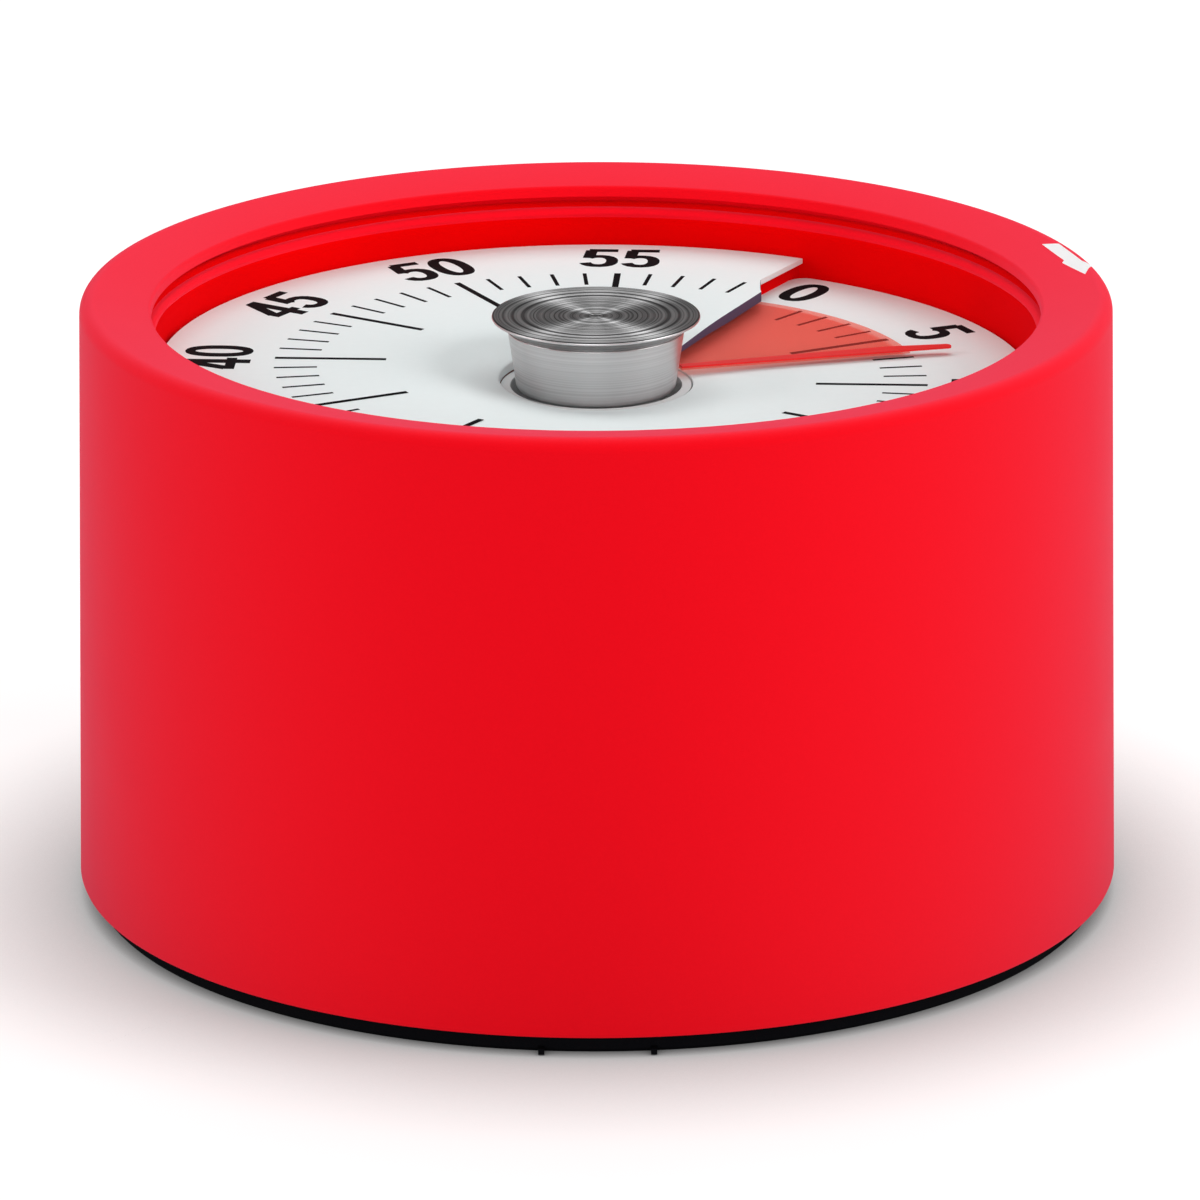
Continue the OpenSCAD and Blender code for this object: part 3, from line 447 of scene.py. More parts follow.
@dataclass(frozen=True)
class Finish:
    """A surface finish that becomes one material."""

    name: str
    colour: Colour
    roughness: float = 0.45
    spread: float = 0.05

    def material(self) -> bpy.types.Material:
        """Gives the finish's material, which is built on first use."""
        label = f"{self.name}_finish"
        found = bpy.data.materials.get(label)
        if found:
            return found
        made = bpy.data.materials.new(label)
        made.use_nodes = True
        made.node_tree.nodes.clear()
        w = Wiring(made.node_tree)
        shader = w.add("ShaderNodeBsdfPrincipled")
        shader.inputs["Base Color"].default_value = (*self.colour, 1.0)
        out = w.add("ShaderNodeOutputMaterial", {"Surface": shader.outputs[0]})
        self.dress(w, shader, out)
        made.diffuse_color = (*self.colour, 1.0)
        return made

    def dress(self, w: Wiring, shader: bpy.types.Node, out: bpy.types.Node) -> None:
        """Adds what this kind of surface has.

        Args:
            w: Wiring of the material.
            shader: Its Principled BSDF.
            out: Its output node.
        """
        raise NotImplementedError

    def use(self, w: Wiring, effect: Effect, **values: float) -> bpy.types.Node:
        """Places an effect's group, with its values by input name."""
        node = w.add("ShaderNodeGroup", node_tree=effect.group())
        for key, value in values.items():
            node.inputs[key.replace("_", " ")].default_value = value
        return node

    def vary_gloss(self, w: Wiring, shader: bpy.types.Node, scale: float = 90.0) -> None:
        """Lets the roughness wander slowly over the surface."""
        handled = self.use(w, Effect.HANDLING, Scale=scale, Low=self.roughness - self.spread,
                           High=self.roughness + self.spread)
        w.feed(shader.inputs["Roughness"], handled.outputs["Value"])

    def shaded(self, share: float) -> Colour:
        """Gives the finish's colour, times a share."""
        return tuple(part * share for part in self.colour)

    def vary_colour(self, w: Wiring, shader: bpy.types.Node, mask: bpy.types.NodeSocket,
                    other: Colour) -> None:
        """Mixes a second colour in where a mask is high."""
        mix = w.add("ShaderNodeMix", {"Factor": mask}, data_type="RGBA")
        mix.inputs[6].default_value = (*self.colour, 1.0)
        mix.inputs[7].default_value = (*other, 1.0)
        w.feed(shader.inputs["Base Color"], mix.outputs[2])

    def bump(self, w: Wiring, shader: bpy.types.Node, height: bpy.types.NodeSocket,
             depth: float) -> None:
        """Raises the surface by a height, over a real depth in metres."""
        node = w.add("ShaderNodeBump", {"Height": height, "Distance": depth})
        w.feed(shader.inputs["Normal"], node.outputs["Normal"])


@dataclass(frozen=True)
class SoftTouchPaint(Finish):
    """Matte rubbery paint with a bloom at grazing angles."""

    grain: float = 5200.0
    grain_depth: float = 0.004 * MM
    fleck_shade: float = 0.94
    gloss: float = 0.02
    bloom: float = 0.2
    bloom_colour: Colour = (1.0, 0.42, 0.74)
    bloom_roughness: float = 0.58

    def dress(self, w: Wiring, shader: bpy.types.Node, out: bpy.types.Node) -> None:
        """Adds a fine grain, a little wandering gloss and the bloom."""
        self.vary_gloss(w, shader)
        grain = self.use(w, Effect.FINE_GRAIN, Scale=self.grain, Fleck=0.4)
        self.vary_colour(w, shader, grain.outputs["Mask"], self.shaded(self.fleck_shade))
        self.bump(w, shader, grain.outputs["Height"], self.grain_depth)
        shader.inputs["Specular IOR Level"].default_value = self.gloss
        shader.inputs["Specular Tint"].default_value = (*self.bloom_colour, 1.0)
        shader.inputs["Sheen Weight"].default_value = self.bloom
        shader.inputs["Sheen Tint"].default_value = (*self.bloom_colour, 1.0)
        shader.inputs["Sheen Roughness"].default_value = self.bloom_roughness


@dataclass(frozen=True)
class MouldedPlastic(Finish):
    """Injection-moulded plastic with a spark-eroded grain."""

    grain: float = 3600.0
    grain_depth: float = 0.006 * MM
    gloss: float = 0.4

    def dress(self, w: Wiring, shader: bpy.types.Node, out: bpy.types.Node) -> None:
        """Adds the grain, its slightly paler peaks and a wandering gloss."""
        self.vary_gloss(w, shader)
        grain = self.use(w, Effect.FINE_GRAIN, Scale=self.grain, Fleck=0.7)
        paler = tuple(min(1.0, c * 1.08 + 0.002) for c in self.colour)
        self.vary_colour(w, shader, grain.outputs["Mask"], paler)
        self.bump(w, shader, grain.outputs["Height"], self.grain_depth)
        shader.inputs["Specular IOR Level"].default_value = self.gloss


@dataclass(frozen=True)
class PrintedSheet(Finish):
    """A smooth painted sheet, or the ink that is printed on it."""

    fibre: float = 1500.0
    mottle: float = 0.97
    gloss: float = 0.2

    def dress(self, w: Wiring, shader: bpy.types.Node, out: bpy.types.Node) -> None:
        """Adds a faint mottle to the colour and an orange-peel skin."""
        self.vary_gloss(w, shader, 140.0)
        grain = self.use(w, Effect.FINE_GRAIN, Scale=self.fibre, Fleck=0.2)
        self.vary_colour(w, shader, grain.outputs["Mask"], self.shaded(self.mottle))
        self.bump(w, shader, grain.outputs["Height"], SKIN_DEPTH)
        shader.inputs["Specular IOR Level"].default_value = self.gloss


@dataclass(frozen=True)
class TintedFilm(Finish):
    """A clear tinted film that what lies below shows through."""

    tint: Colour = (1.0, 0.3, 0.28)
    body: float = 0.3

    def dress(self, w: Wiring, shader: bpy.types.Node, out: bpy.types.Node) -> None:
        """Lets part of the light through, tinted once as it enters, and keeps a glossy skin."""
        self.vary_gloss(w, shader, 60.0)
        grain = self.use(w, Effect.FINE_GRAIN, Scale=700.0, Fleck=0.1)
        self.bump(w, shader, grain.outputs["Height"], SKIN_DEPTH)
        shader.inputs["Specular IOR Level"].default_value = 0.5
        clear = w.add("ShaderNodeBsdfTransparent", {"Color": (*self.tint, 1.0)})
        mix = w.add("ShaderNodeMixShader", {0: self.body, 1: clear.outputs[0],
                                            2: shader.outputs[0]})
        behind = w.add("ShaderNodeNewGeometry").outputs["Backfacing"]
        through = w.add("ShaderNodeBsdfTransparent")
        once = w.add("ShaderNodeMixShader", {0: behind, 1: mix.outputs[0], 2: through.outputs[0]})
        w.feed(out.inputs["Surface"], once.outputs[0])


@dataclass(frozen=True)
class TurnedMetal(Finish):
    """Metal with fine tool rings round an axis along Z."""

    pitch: float = 0.22 * MM
    depth: float = 0.004 * MM
    stretch: float = 0.8
    centre: Point2 = (0.0, 0.0)
    along: float = 0.0
    shade: float = 0.6

    def dress(self, w: Wiring, shader: bpy.types.Node, out: bpy.types.Node) -> None:
        """Adds the rings, their darker grooves and the stretched highlight."""
        lines = self.use(w, Effect.TURNED_LINES, Pitch=self.pitch, Centre_X=self.centre[0],
                         Centre_Y=self.centre[1], Along_Z=self.along)
        self.vary_gloss(w, shader, 200.0)
        self.vary_colour(w, shader, lines.outputs["Mask"], self.shaded(self.shade))
        self.bump(w, shader, lines.outputs["Height"], self.depth)
        tangent = w.add("ShaderNodeTangent", direction_type="RADIAL", axis="Z")
        w.feed(shader.inputs["Tangent"], tangent.outputs[0])
        shader.inputs["Metallic"].default_value = 1.0
        shader.inputs["Anisotropic"].default_value = self.stretch
        shader.inputs["Anisotropic Rotation"].default_value = 0.25


@dataclass(frozen=True)
class StampedMetal(Finish):
    """Sheet or bar metal with a rolled grain and worn edges."""

    worn: Colour = (0.85, 0.84, 0.8)
    grain: float = 1800.0
    grain_depth: float = 0.003 * MM

    def dress(self, w: Wiring, shader: bpy.types.Node, out: bpy.types.Node) -> None:
        """Adds the grain, wandering gloss and brighter edges."""
        self.vary_gloss(w, shader, 160.0)
        wear = self.use(w, Effect.EDGE_WEAR, Scale=1100.0, Amount=0.6)
        self.vary_colour(w, shader, wear.outputs["Mask"], self.worn)
        grain = self.use(w, Effect.FINE_GRAIN, Scale=self.grain, Fleck=0.3)
        self.bump(w, shader, grain.outputs["Height"], self.grain_depth)
        shader.inputs["Metallic"].default_value = 1.0


SHELL_RED = SoftTouchPaint("shell_soft_red", (0.94, 0.0003, 0.005), 0.6, 0.03)
RIM_PRINT = PrintedSheet("rim_print_white", (0.96, 0.95, 0.955), 0.5, 0.03)
BEZEL_RED = SoftTouchPaint("bezel_red", (0.83, 0.0003, 0.0006), 0.6, 0.05, gloss=0.0, bloom=0.02)
# Painted light: a paler, pinker copy of the bezel's red for the band, standing in for the light along its
# rounded top.
BAND_RED_PAINTED_LIGHT = SoftTouchPaint("bezel_band_painted_light", (0.99, 0.003, 0.012), 0.5, 0.05, bloom=0.12)
BASE_BLACK = MouldedPlastic("base_black", (0.003, 0.003, 0.004), 0.6, 0.05, gloss=0.01)
HUB_WHITE = MouldedPlastic("hub_white", (0.72, 0.73, 0.73), 0.5, 0.05, gloss=0.2)
CORE_GREY = MouldedPlastic("core_grey", (0.05, 0.05, 0.055), 0.5, 0.05)
DIAL_WHITE = PrintedSheet("dial_white", (0.85, 0.92, 0.92), 0.55, 0.04, gloss=0.1)
DIAL_INK = PrintedSheet("dial_ink", (0.006, 0.007, 0.008), 0.6, 0.05, mottle=1.5, gloss=0.01)
# Painted shade: a dark violet for the dial's walls and underside near the lip, standing in for the shadow in
# the gap under it.
LIP_PAINTED_SHADE = PrintedSheet("dial_lip_painted_shade", (0.09, 0.075, 0.13), 0.6, 0.05, gloss=0.02)
FILM_RED = TintedFilm("film_red", (1.0, 0.09, 0.07), 0.32, 0.04, tint=(1.0, 0.46, 0.40), body=0.28)
POINTER_RED = MouldedPlastic("pointer_red", (0.80, 0.02, 0.02), 0.3, 0.04, gloss=0.2)
# Painted shade: the spun top is a darker copy of the knob's metal, standing in for the dim reflections it
# shows; its rings are the tool marks.
KNOB_TOP = TurnedMetal("knob_spun_top", (0.50, 0.50, 0.502), 0.45, 0.03, pitch=0.18 * MM,
                       depth=0.008 * MM, stretch=1.0, shade=0.08)
KNOB_SIDE = TurnedMetal("knob_satin_side", (0.64, 0.65, 0.655), 0.42, 0.03, pitch=0.1 * MM,
                        stretch=0.3, along=1.0, shade=0.85)
# Painted shade: a darker copy of the side's metal for the neck under the knob's lip.
KNOB_NECK_SHADED = TurnedMetal("knob_neck_painted_shade", (0.40, 0.40, 0.402), 0.4, 0.03, pitch=0.2 * MM,
                        stretch=0.3, along=1.0, shade=0.6)
PLATE_STEEL = StampedMetal("plate_steel", (0.56, 0.57, 0.58), 0.3)
ARBOR_STEEL = StampedMetal("arbor_steel", (0.50, 0.51, 0.53), 0.22)
SPRING_STEEL = StampedMetal("spring_steel", (0.12, 0.17, 0.27), 0.3)
SCREW_STEEL = StampedMetal("screw_steel", (0.44, 0.44, 0.43), 0.35)
LEVER_STEEL = StampedMetal("lever_steel", (0.48, 0.46, 0.40), 0.35)
WHEEL_BRASS = StampedMetal("wheel_brass", (0.72, 0.50, 0.18), 0.28, worn=(0.95, 0.8, 0.45))
BELL_STEEL = TurnedMetal("bell_nickel", (0.68, 0.66, 0.62), 0.15, 0.03, pitch=0.6 * MM,
                         depth=0.002 * MM, stretch=0.3, shade=0.9)

NODE_FINISHES: dict[str, Finish] = {
    "bezel_ring": BEZEL_RED, "base_cover": BASE_BLACK, "base_screws": SCREW_STEEL,
    "front_plate": PLATE_STEEL, "rear_plate": PLATE_STEEL, "plate_pillars": WHEEL_BRASS,
    "pillar_nuts": SCREW_STEEL, "movement_screws": SCREW_STEEL, "spring_stud": ARBOR_STEEL,
    "bell_post": ARBOR_STEEL, "bell": BELL_STEEL, "bell_screw": SCREW_STEEL,
    "knob_core": CORE_GREY, "main_arbor": ARBOR_STEEL, "arbor_clip": SPRING_STEEL,
    "alarm_cam": LEVER_STEEL, "great_wheel": WHEEL_BRASS, "clutch_spring": SPRING_STEEL,
    "film_hub": HUB_WHITE, "second_wheel": WHEEL_BRASS, "second_pinion": ARBOR_STEEL,
    "third_wheel": WHEEL_BRASS, "third_pinion": ARBOR_STEEL, "escape_wheel": WHEEL_BRASS,
    "escape_pinion": ARBOR_STEEL, "anchor": LEVER_STEEL, "anchor_arbor": ARBOR_STEEL,
    "balance_bar": WHEEL_BRASS, "hammer": LEVER_STEEL, "hammer_arbor": ARBOR_STEEL,
    "trip_lever": LEVER_STEEL, "trip_arbor": ARBOR_STEEL,
}


def paint(obj: bpy.types.Object, finish: Finish) -> None:
    """Gives a whole object one finish."""
    obj.data.materials.clear()
    obj.data.materials.append(finish.material())


def settle(piece: bpy.types.Object, body: str, slot: str, *nodes: str) -> bpy.types.Object:
    """Ties a finished piece to its body and hides the nodes that it stands for.

    Args:
        piece: The finished piece.
        body: The body that it moves with.
        slot: The record's material slot; not used.
        *nodes: The nodes that it replaces.

    Returns:
        The same piece.
    """
    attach(piece, body)
    if nodes:
        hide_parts(*nodes)
    LOG.info("%s: %d faces, rides on %s", piece.name, len(piece.data.polygons), body)
    return piece


# ---------- housing ----------


@dataclass
class Shell:
    """The soft-touch outer shell, with its sloping rim and the arrow printed on it."""

    draft: float = 0.7 * MM
    wall: float = 2.0 * MM
    fillet: float = 1.0 * MM
    slope: float = 10.4
    lip_radius: float = 33.0 * MM
    lip_thickness: float = 0.85 * MM
    throat_radius: float = 34.3 * MM
    throat_drop: float = 3.0 * MM
    lip_round: float = 0.3 * MM
    foot_round: float = 0.3 * MM
    corner: float = 1.0 * MM
    ink: float = 0.02 * MM
    print_step: float = 0.12 * MM
    print_grid: float = 0.25 * MM
    radius: float = field(init=False)
    foot: float = field(init=False)
    top: float = field(init=False)

    def __post_init__(self) -> None:
        """Takes the shell's reach from its node."""
        low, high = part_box("outer_shell")
        self.radius = high.x
        self.foot = low.z
        self.top = high.z - self.ink

    @property
    def crest(self) -> float:
        """Radius at which the rim is highest."""
        return self.radius - self.draft - self.fillet

    def rim_edges(self) -> tuple[Point2, Point2, Point2]:
        """Gives where the rim's slope starts, where it ends, and the middle of the lip's round edge."""
        tilt = math.radians(self.slope)
        start = (self.crest - self.fillet * math.sin(tilt),
                 self.top - self.fillet + self.fillet * math.cos(tilt))
        middle_radius = self.lip_radius + self.lip_round
        middle = (middle_radius, self.top - (self.crest - middle_radius) * math.tan(tilt)
                  - self.lip_round / math.cos(tilt))
        end = (middle[0] - self.lip_round * math.sin(tilt), middle[1] + self.lip_round * math.cos(tilt))
        return start, end, middle

    def rim_height(self, radius: float) -> float:
        """Gives the height of the rim's surface at a radius.

        Args:
            radius: Distance from the axis.

        Returns:
            The height over the underside.
        """
        start, end, _ = self.rim_edges()
        if radius <= start[0]:
            return start[1] - (start[0] - radius) * (start[1] - end[1]) / (start[0] - end[0])
        out = min(radius - self.crest, self.fillet)
        return self.top - self.fillet + math.sqrt(self.fillet ** 2 - out ** 2)

    def profile(self) -> list[Point2]:
        """Gives the closed profile of the shell, from its foot round the rim to the inside."""
        lip_under = self.rim_height(self.lip_radius + self.lip_round) - self.lip_thickness
        throat_under = self.top - self.throat_drop
        inside = self.radius - self.draft - self.wall
        corner = self.corner
        foot = [(self.radius - self.foot_round, self.foot),
                (self.radius - self.foot_round / 3, self.foot + self.foot_round / 5),
                (self.radius, self.foot + self.foot_round)]
        crest = arc((self.crest, self.top - self.fillet), self.fillet, 0, 90 + self.slope, 14)
        lip = arc(self.rim_edges()[2], self.lip_round, 90 + self.slope, 180, 8)
        return [*foot, *crest, *lip, (self.lip_radius, lip_under), (self.throat_radius, lip_under),
                (self.throat_radius, throat_under), (inside - corner, throat_under),
                (inside, throat_under - corner), (inside, self.foot)]

    def build(self) -> None:
        """Builds and dresses the shell."""
        shell = lathe("shell_skin", self.profile(), ROUND_STEPS, TURNED_CREASE)
        paint(shell, SHELL_RED)
        settle(shell, "housing", "shell_red", "outer_shell")

    def build_arrow(self) -> None:
        """Builds the printed arrow on the rim that shows which way to turn."""
        tail_in = (36.38, 67.97)
        tail_out = (37.38, 69.35)
        neck_out = (37.43, 77.05)
        barb_out = (38.02, 78.13)
        tip = (36.87, 82.27)
        barb_in = (36.05, 76.11)
        neck_in = (36.34, 75.39)
        corners = [polar(r * MM, a, 0).to_2d() for r, a in
                   (tail_in, tail_out, neck_out, barb_out, tip, barb_in, neck_in)]
        outline: list[Point2] = []
        for start, end in zip(corners, corners[1:] + corners[:1]):
            steps = max(1, round((end - start).length / self.print_step))
            outline += [tuple(start.lerp(end, k / steps)) for k in range(steps)]
        spans = [(min(axis) / self.print_grid, max(axis) / self.print_grid) for axis in zip(*corners)]
        columns, rows = (range(math.floor(low), math.ceil(high)) for low, high in spans)
        grid = [(x * self.print_grid, y * self.print_grid) for x in columns for y in rows]
        inner = [p for p in grid if self.in_outline(p, corners, self.print_step)]
        points, triangles = fill_outline(outline, inner)

        def place(x: float, y: float, lift: float) -> Vector:
            """Lays a point on the rim."""
            return Vector((x, y, self.rim_height(math.hypot(x, y)) + lift))

        arrow = thicken("rim_arrow", points, triangles, place, self.ink)
        paint(arrow, RIM_PRINT)
        settle(arrow, "housing", "shell_red")

    @staticmethod
    def in_outline(point: Point2, corners: Sequence[Vector], margin: float) -> bool:
        """Tells whether a point lies inside an outline, at least a margin from its edges."""
        inside = False
        here = Vector(point)
        for a, b in zip(corners, corners[1:] + corners[:1]):
            along = b - a
            share = clamp((here - a).dot(along) / along.length_squared)
            if (a + along * share - here).length < margin:
                return False
            if (a.y > here.y) != (b.y > here.y):
                if here.x < a.x + (here.y - a.y) / (b.y - a.y) * (b.x - a.x):
                    inside = not inside
        return inside


@dataclass
class BezelBand:
    """The rounded band along the top of the bezel."""

    inner_radius: float = 32.75 * MM
    outer_radius: float = 33.9 * MM
    round: float = 0.45 * MM
    height: float = 43.5 * MM
    depth: float = 1.0 * MM

    def build(self) -> None:
        """Builds and dresses the band, in the paler red that paints light on it."""
        top = arc((self.inner_radius + self.round, self.height - self.round), self.round, 90, 180, 10)
        profile = [(self.outer_radius, self.height - self.depth), (self.outer_radius, self.height), *top,
                   (self.inner_radius + self.round, self.height - self.depth)]
        band = lathe("bezel_band", profile, ROUND_STEPS, TURNED_CREASE)
        paint(band, BAND_RED_PAINTED_LIGHT)
        settle(band, "housing", "bezel_red")


@dataclass
class DialPlan:
    """Where the minutes lie on the dial and how high its face stands there.

    The ramp starts and ends at minutes, and the azimuths are in degrees.
    """

    zero_azimuth: float = 33.7
    minute_step: float = 6.0
    ramp_start: float = 9.0
    ramp_end: float = 42.0
    rise: float = 1.5 * MM
    thickness: float = 0.4 * MM
    hole_radius: float = 7.2 * MM
    dish_radius: float = 16.0 * MM
    dish_lift: float = 0.25 * MM
    film_run: float = 0.1 * MM
    film_pitch: float = 2.2 * MM
    film_room: float = 0.95 * MM
    crease: float = 40.0
    low: float = field(init=False)
    radius: float = field(init=False)
    foot: float = field(init=False)

    def __post_init__(self) -> None:
        """Takes the dial's radius and heights from its node, and the knob's foot from the knob."""
        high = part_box("dial_plate")[1]
        self.low = high.z - self.rise
        self.radius = high.x
        self.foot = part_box("knob_cap")[0].z

    def azimuth(self, minute: float) -> float:
        """Gives the azimuth of a minute, in degrees."""
        return self.zero_azimuth + self.minute_step * minute

    def level(self, minute: float) -> float:
        """Gives the height of the dial's level part at a minute."""
        t = clamp((minute - self.ramp_start) / (self.ramp_end - self.ramp_start))
        return self.low + self.rise * t * t * (3 - 2 * t)

    def film_height(self, minute: float) -> float:
        """Gives the height of the film's underside at a minute."""
        return self.low + self.film_run + self.film_pitch * minute / 60

    def face(self, minute: float, radius: float) -> float:
        """Gives the height of the dial's face, which dips towards the knob.

        Args:
            minute: Where on the dial, counted from zero.
            radius: Distance from the axis.

        Returns:
            The height over the underside.
        """
        level = self.level(minute)
        hole = min(level, max(self.foot + self.dish_lift, self.film_height(minute - 60) + self.film_room))
        dip = clamp((self.dish_radius - radius) / (self.dish_radius - self.hole_radius))
        return level - (level - hole) * dip * dip

    def sheet(self, name: str, stations: Sequence[tuple[float, Sequence[float]]],
              underside: Height, face: Height, edge: float) -> bpy.types.Object:
        """Makes a sheet that winds round the axis.

        Args:
            name: Name of the object.
            stations: Minutes, each with its radii from the inside outwards.
            underside: Height of the sheet's underside at a minute and radius.
            face: Height of its upper face there.
            edge: Width of the chamfer along the upper edges.

        Returns:
            The sheet.
        """
        points: list[Vector] = []
        for minute, radii in stations:
            top = [radii[0] + edge, *radii[1:-1], radii[-1] - edge]
            ring = [(r, underside(minute, r)) for r in radii]
            ring.append((radii[-1], face(minute, radii[-1]) - edge))
            ring += [(r, face(minute, r)) for r in reversed(top)]
            ring.append((radii[0], face(minute, radii[0]) - edge))
            points += [polar(r, self.azimuth(minute), z) for r, z in ring]
        size = 2 * len(stations[0][1]) + 2
        last = size * (len(stations) - 1)
        faces: list[tuple[int, ...]] = [tuple(range(size)), tuple(range(last + size - 1, last - 1, -1))]
        for start in range(0, last, size):
            for k in range(size):
                after = (k + 1) % size
                faces.append((start + k, start + after, start + size + after, start + size + k))
        return new_object(name, points, faces, self.crease)


@dataclass
class Dial:
    """The white dial: one turn of a ramp with a slit at zero, its minute marks and numerals.

    The overlap, the notch, the skew and the print's turn are in degrees. The collar's end and
    fade, the turned-down stretch and the hook's start are in minutes.
    """

    plan: DialPlan
    overlap: float = 5.2
    lip_radius: float = 25.3 * MM
    hook_width: float = 2.5 * MM
    notch_back: float = 4.4
    edge_offset: float = 3.8 * MM
    edge_skew: float = 9.7
    collar_width: float = 0.25 * MM
    collar_depth: float = 0.7 * MM
    collar_room: float = 0.3 * MM
    collar_end: float = 54.0
    collar_fade: float = 4.0
    # The turned-down stretch deepens the lip's wall, which carries the dark violet painted shade.
    turned_down: float = 0.35 * MM
    turned_minutes: float = 0.9
    corner: float = 1.4 * MM
    corner_steps: int = 8
    dish_steps: int = 8
    ramp_steps: int = 240
    edge_steps: int = 40
    hook_shares: tuple[float, ...] = (-0.16, 0.2, 0.52, 0.8)
    hook_start: float = 0.02
    chamfer: float = 0.05 * MM
    dark_inset: float = 0.1 * MM
    dark_reach: float = 0.5 * MM
    wall_tilt: float = 0.5
    under_tilt: float = -0.9
    ink: float = 0.012 * MM
    print_shift: float = 0.35 * MM
    print_turn: float = -0.6
    tick_outer: float = 24.3 * MM
    tick_inner: float = 21.1 * MM
    tick_width: float = 0.30 * MM
    long_inner: float = 16.0 * MM
    long_width: float = 0.50 * MM
    numeral_radius: float = 28.6 * MM
    numeral_height: float = 5.1 * MM
    digit_width: float = 2.95 * MM
    digit_gap: float = 0.26 * MM

    def across(self, outer: float) -> list[float]:
        """Lists the radii of one station, dense over the dish, out to a radius."""
        hole = self.plan.hole_radius
        dish = min(self.plan.dish_radius - hole, 0.9 * (outer - hole))
        return [hole, hole + self.collar_width, *spaced(hole, hole + dish, self.dish_steps), outer]

    def underside(self, minute: float, radius: float) -> float:
        """Gives the height of the dial's underside, turned down at the lip and round the hole."""
        plan = self.plan
        thickness = plan.thickness
        near = clamp((minute - 60 + self.turned_minutes) / (self.turned_minutes / 2))
        outward = clamp((radius - plan.hole_radius) / (plan.dish_radius - plan.hole_radius))
        if radius <= self.lip_radius:
            thickness += self.turned_down * near * outward
        under = plan.face(minute, radius) - thickness
        if radius > plan.hole_radius + self.collar_width:
            return under
        share = clamp((self.collar_end - minute) / self.collar_fade)
        deep = max(plan.film_height(minute - 60) + self.collar_room, under + thickness - self.collar_depth)
        return under + share * min(0.0, deep - under)

    def edge_minute(self, radius: float) -> float:
        """Gives the minute of the high end's straight edge at a radius."""
        turn = math.degrees(math.asin(self.edge_offset / radius)) - self.edge_skew
        return 60 + turn / self.plan.minute_step

    def stations(self) -> list[tuple[float, list[float]]]:
        """Lists the dial's stations, from its low end up the ramp to the tip of its high end."""
        plan = self.plan
        start = -self.overlap / plan.minute_step
        notch = 60 - self.notch_back / plan.minute_step
        corner_end = start + math.degrees(self.corner / plan.radius) / plan.minute_step
        outline = [(start, plan.radius - self.corner)]
        for minute in spaced(start, corner_end, self.corner_steps):
            back = 1 - (minute - start) / (corner_end - start)
            outline.append((minute, plan.radius - self.corner * (1 - math.sqrt(1 - back * back))))
        outline += [(minute, plan.radius) for minute in spaced(corner_end, notch, self.ramp_steps)]
        hook_end = self.lip_radius - self.hook_width
        for step, share in enumerate(self.hook_shares):
            past = (self.edge_minute(hook_end) - notch) * step / len(self.hook_shares)
            outline.append((notch + self.hook_start + past, self.lip_radius - share * self.hook_width))
        tip = plan.hole_radius + 2 * self.collar_width
        outline += [(self.edge_minute(r), r) for r in [hook_end, *spaced(hook_end, tip, self.edge_steps)]]
        return [(minute, self.across(radius)) for minute, radius in outline]

    def build(self) -> None:
        """Builds and dresses the dial's sheet, with painted shade on its walls and most of its underside: a
        dark violet that stands in for the shade in the gap under the lip.
        """
        sheet = self.plan.sheet("dial_sheet", self.stations(), self.underside, self.plan.face,
                                self.chamfer)
        paint(sheet, DIAL_WHITE)
        sheet.data.materials.append(LIP_PAINTED_SHADE.material())
        hole = self.plan.hole_radius
        # Painted shade: wall and underside faces from the hole out past the lip take the dark violet.
        for face in sheet.data.polygons:
            near = hole + self.dark_inset < face.center.xy.length < self.lip_radius + self.dark_reach
            if near and (abs(face.normal.z) < self.wall_tilt or face.normal.z < self.under_tilt):
                face.material_index = 1
        settle(sheet, "housing", "dial_white", "dial_plate")

    def build_marks(self) -> None:
        """Builds the minute marks with geometry nodes."""
        marks = MarkRing(self.plan, DIAL_INK).build("minute_marks", {
            "Outer Radius": self.tick_outer, "Inner Radius": self.tick_inner,
            "Width": self.tick_width, "Long Inner Radius": self.long_inner,
            "Long Width": self.long_width, "Thickness": self.ink, "Shift": self.print_shift,
            "Turn": math.radians(self.print_turn)})
        settle(marks, "housing", "dial_white")

    def build_numerals(self) -> None:
        """Builds the twelve numerals, with their tops outwards."""
        for minute in range(0, 60, 5):
            settle(self.numeral(minute), "housing", "dial_white")

    def numeral(self, minute: int) -> bpy.types.Object:
        """Builds one numeral and lays it on the dial.

        Args:
            minute: The minute that it names.

        Returns:
            The numeral as a thin mesh.
        """
        digits = str(minute)
        step = self.digit_width + self.digit_gap
        points: list[Point2] = []
        loops: list[list[int]] = []
        for place, digit in enumerate(digits):
            left = (place - len(digits) / 2) * step + self.digit_gap / 2
            for stroke in Digits.strokes(digit):
                loops.append(list(range(len(points), len(points) + len(stroke))))
                points += [(left + x * self.digit_width, (y - 0.5) * self.numeral_height) for x, y in stroke]
        flat, _, pieces, _, _, covers = delaunay_2d_cdt([Vector(q) for q in points], [], loops, 1, 1e-7)
        triangles = [piece for piece, strokes in zip(pieces, covers) if strokes]
        middle = math.radians(self.plan.azimuth(minute) + self.print_turn)
        up = Vector((math.sin(middle), math.cos(middle), 0.0))
        side = Vector((up.y, -up.x, 0.0))
        shift = Vector((self.print_shift, 0.0, 0.0))

        def place_ink(x: float, y: float, lift: float) -> Vector:
            """Lays a point of the numeral on the dial."""
            spot = up * (self.numeral_radius + y) + side * x + shift
            azimuth = math.degrees(math.atan2(spot.x, spot.y))
            off = (azimuth - self.plan.azimuth(minute) + 180) % 360 - 180
            spot.z = self.plan.face(minute + off / self.plan.minute_step, spot.xy.length) + lift
            return spot

        numeral = thicken(f"numeral_{minute}", flat, triangles, place_ink, self.ink)
        paint(numeral, DIAL_INK)
        return numeral


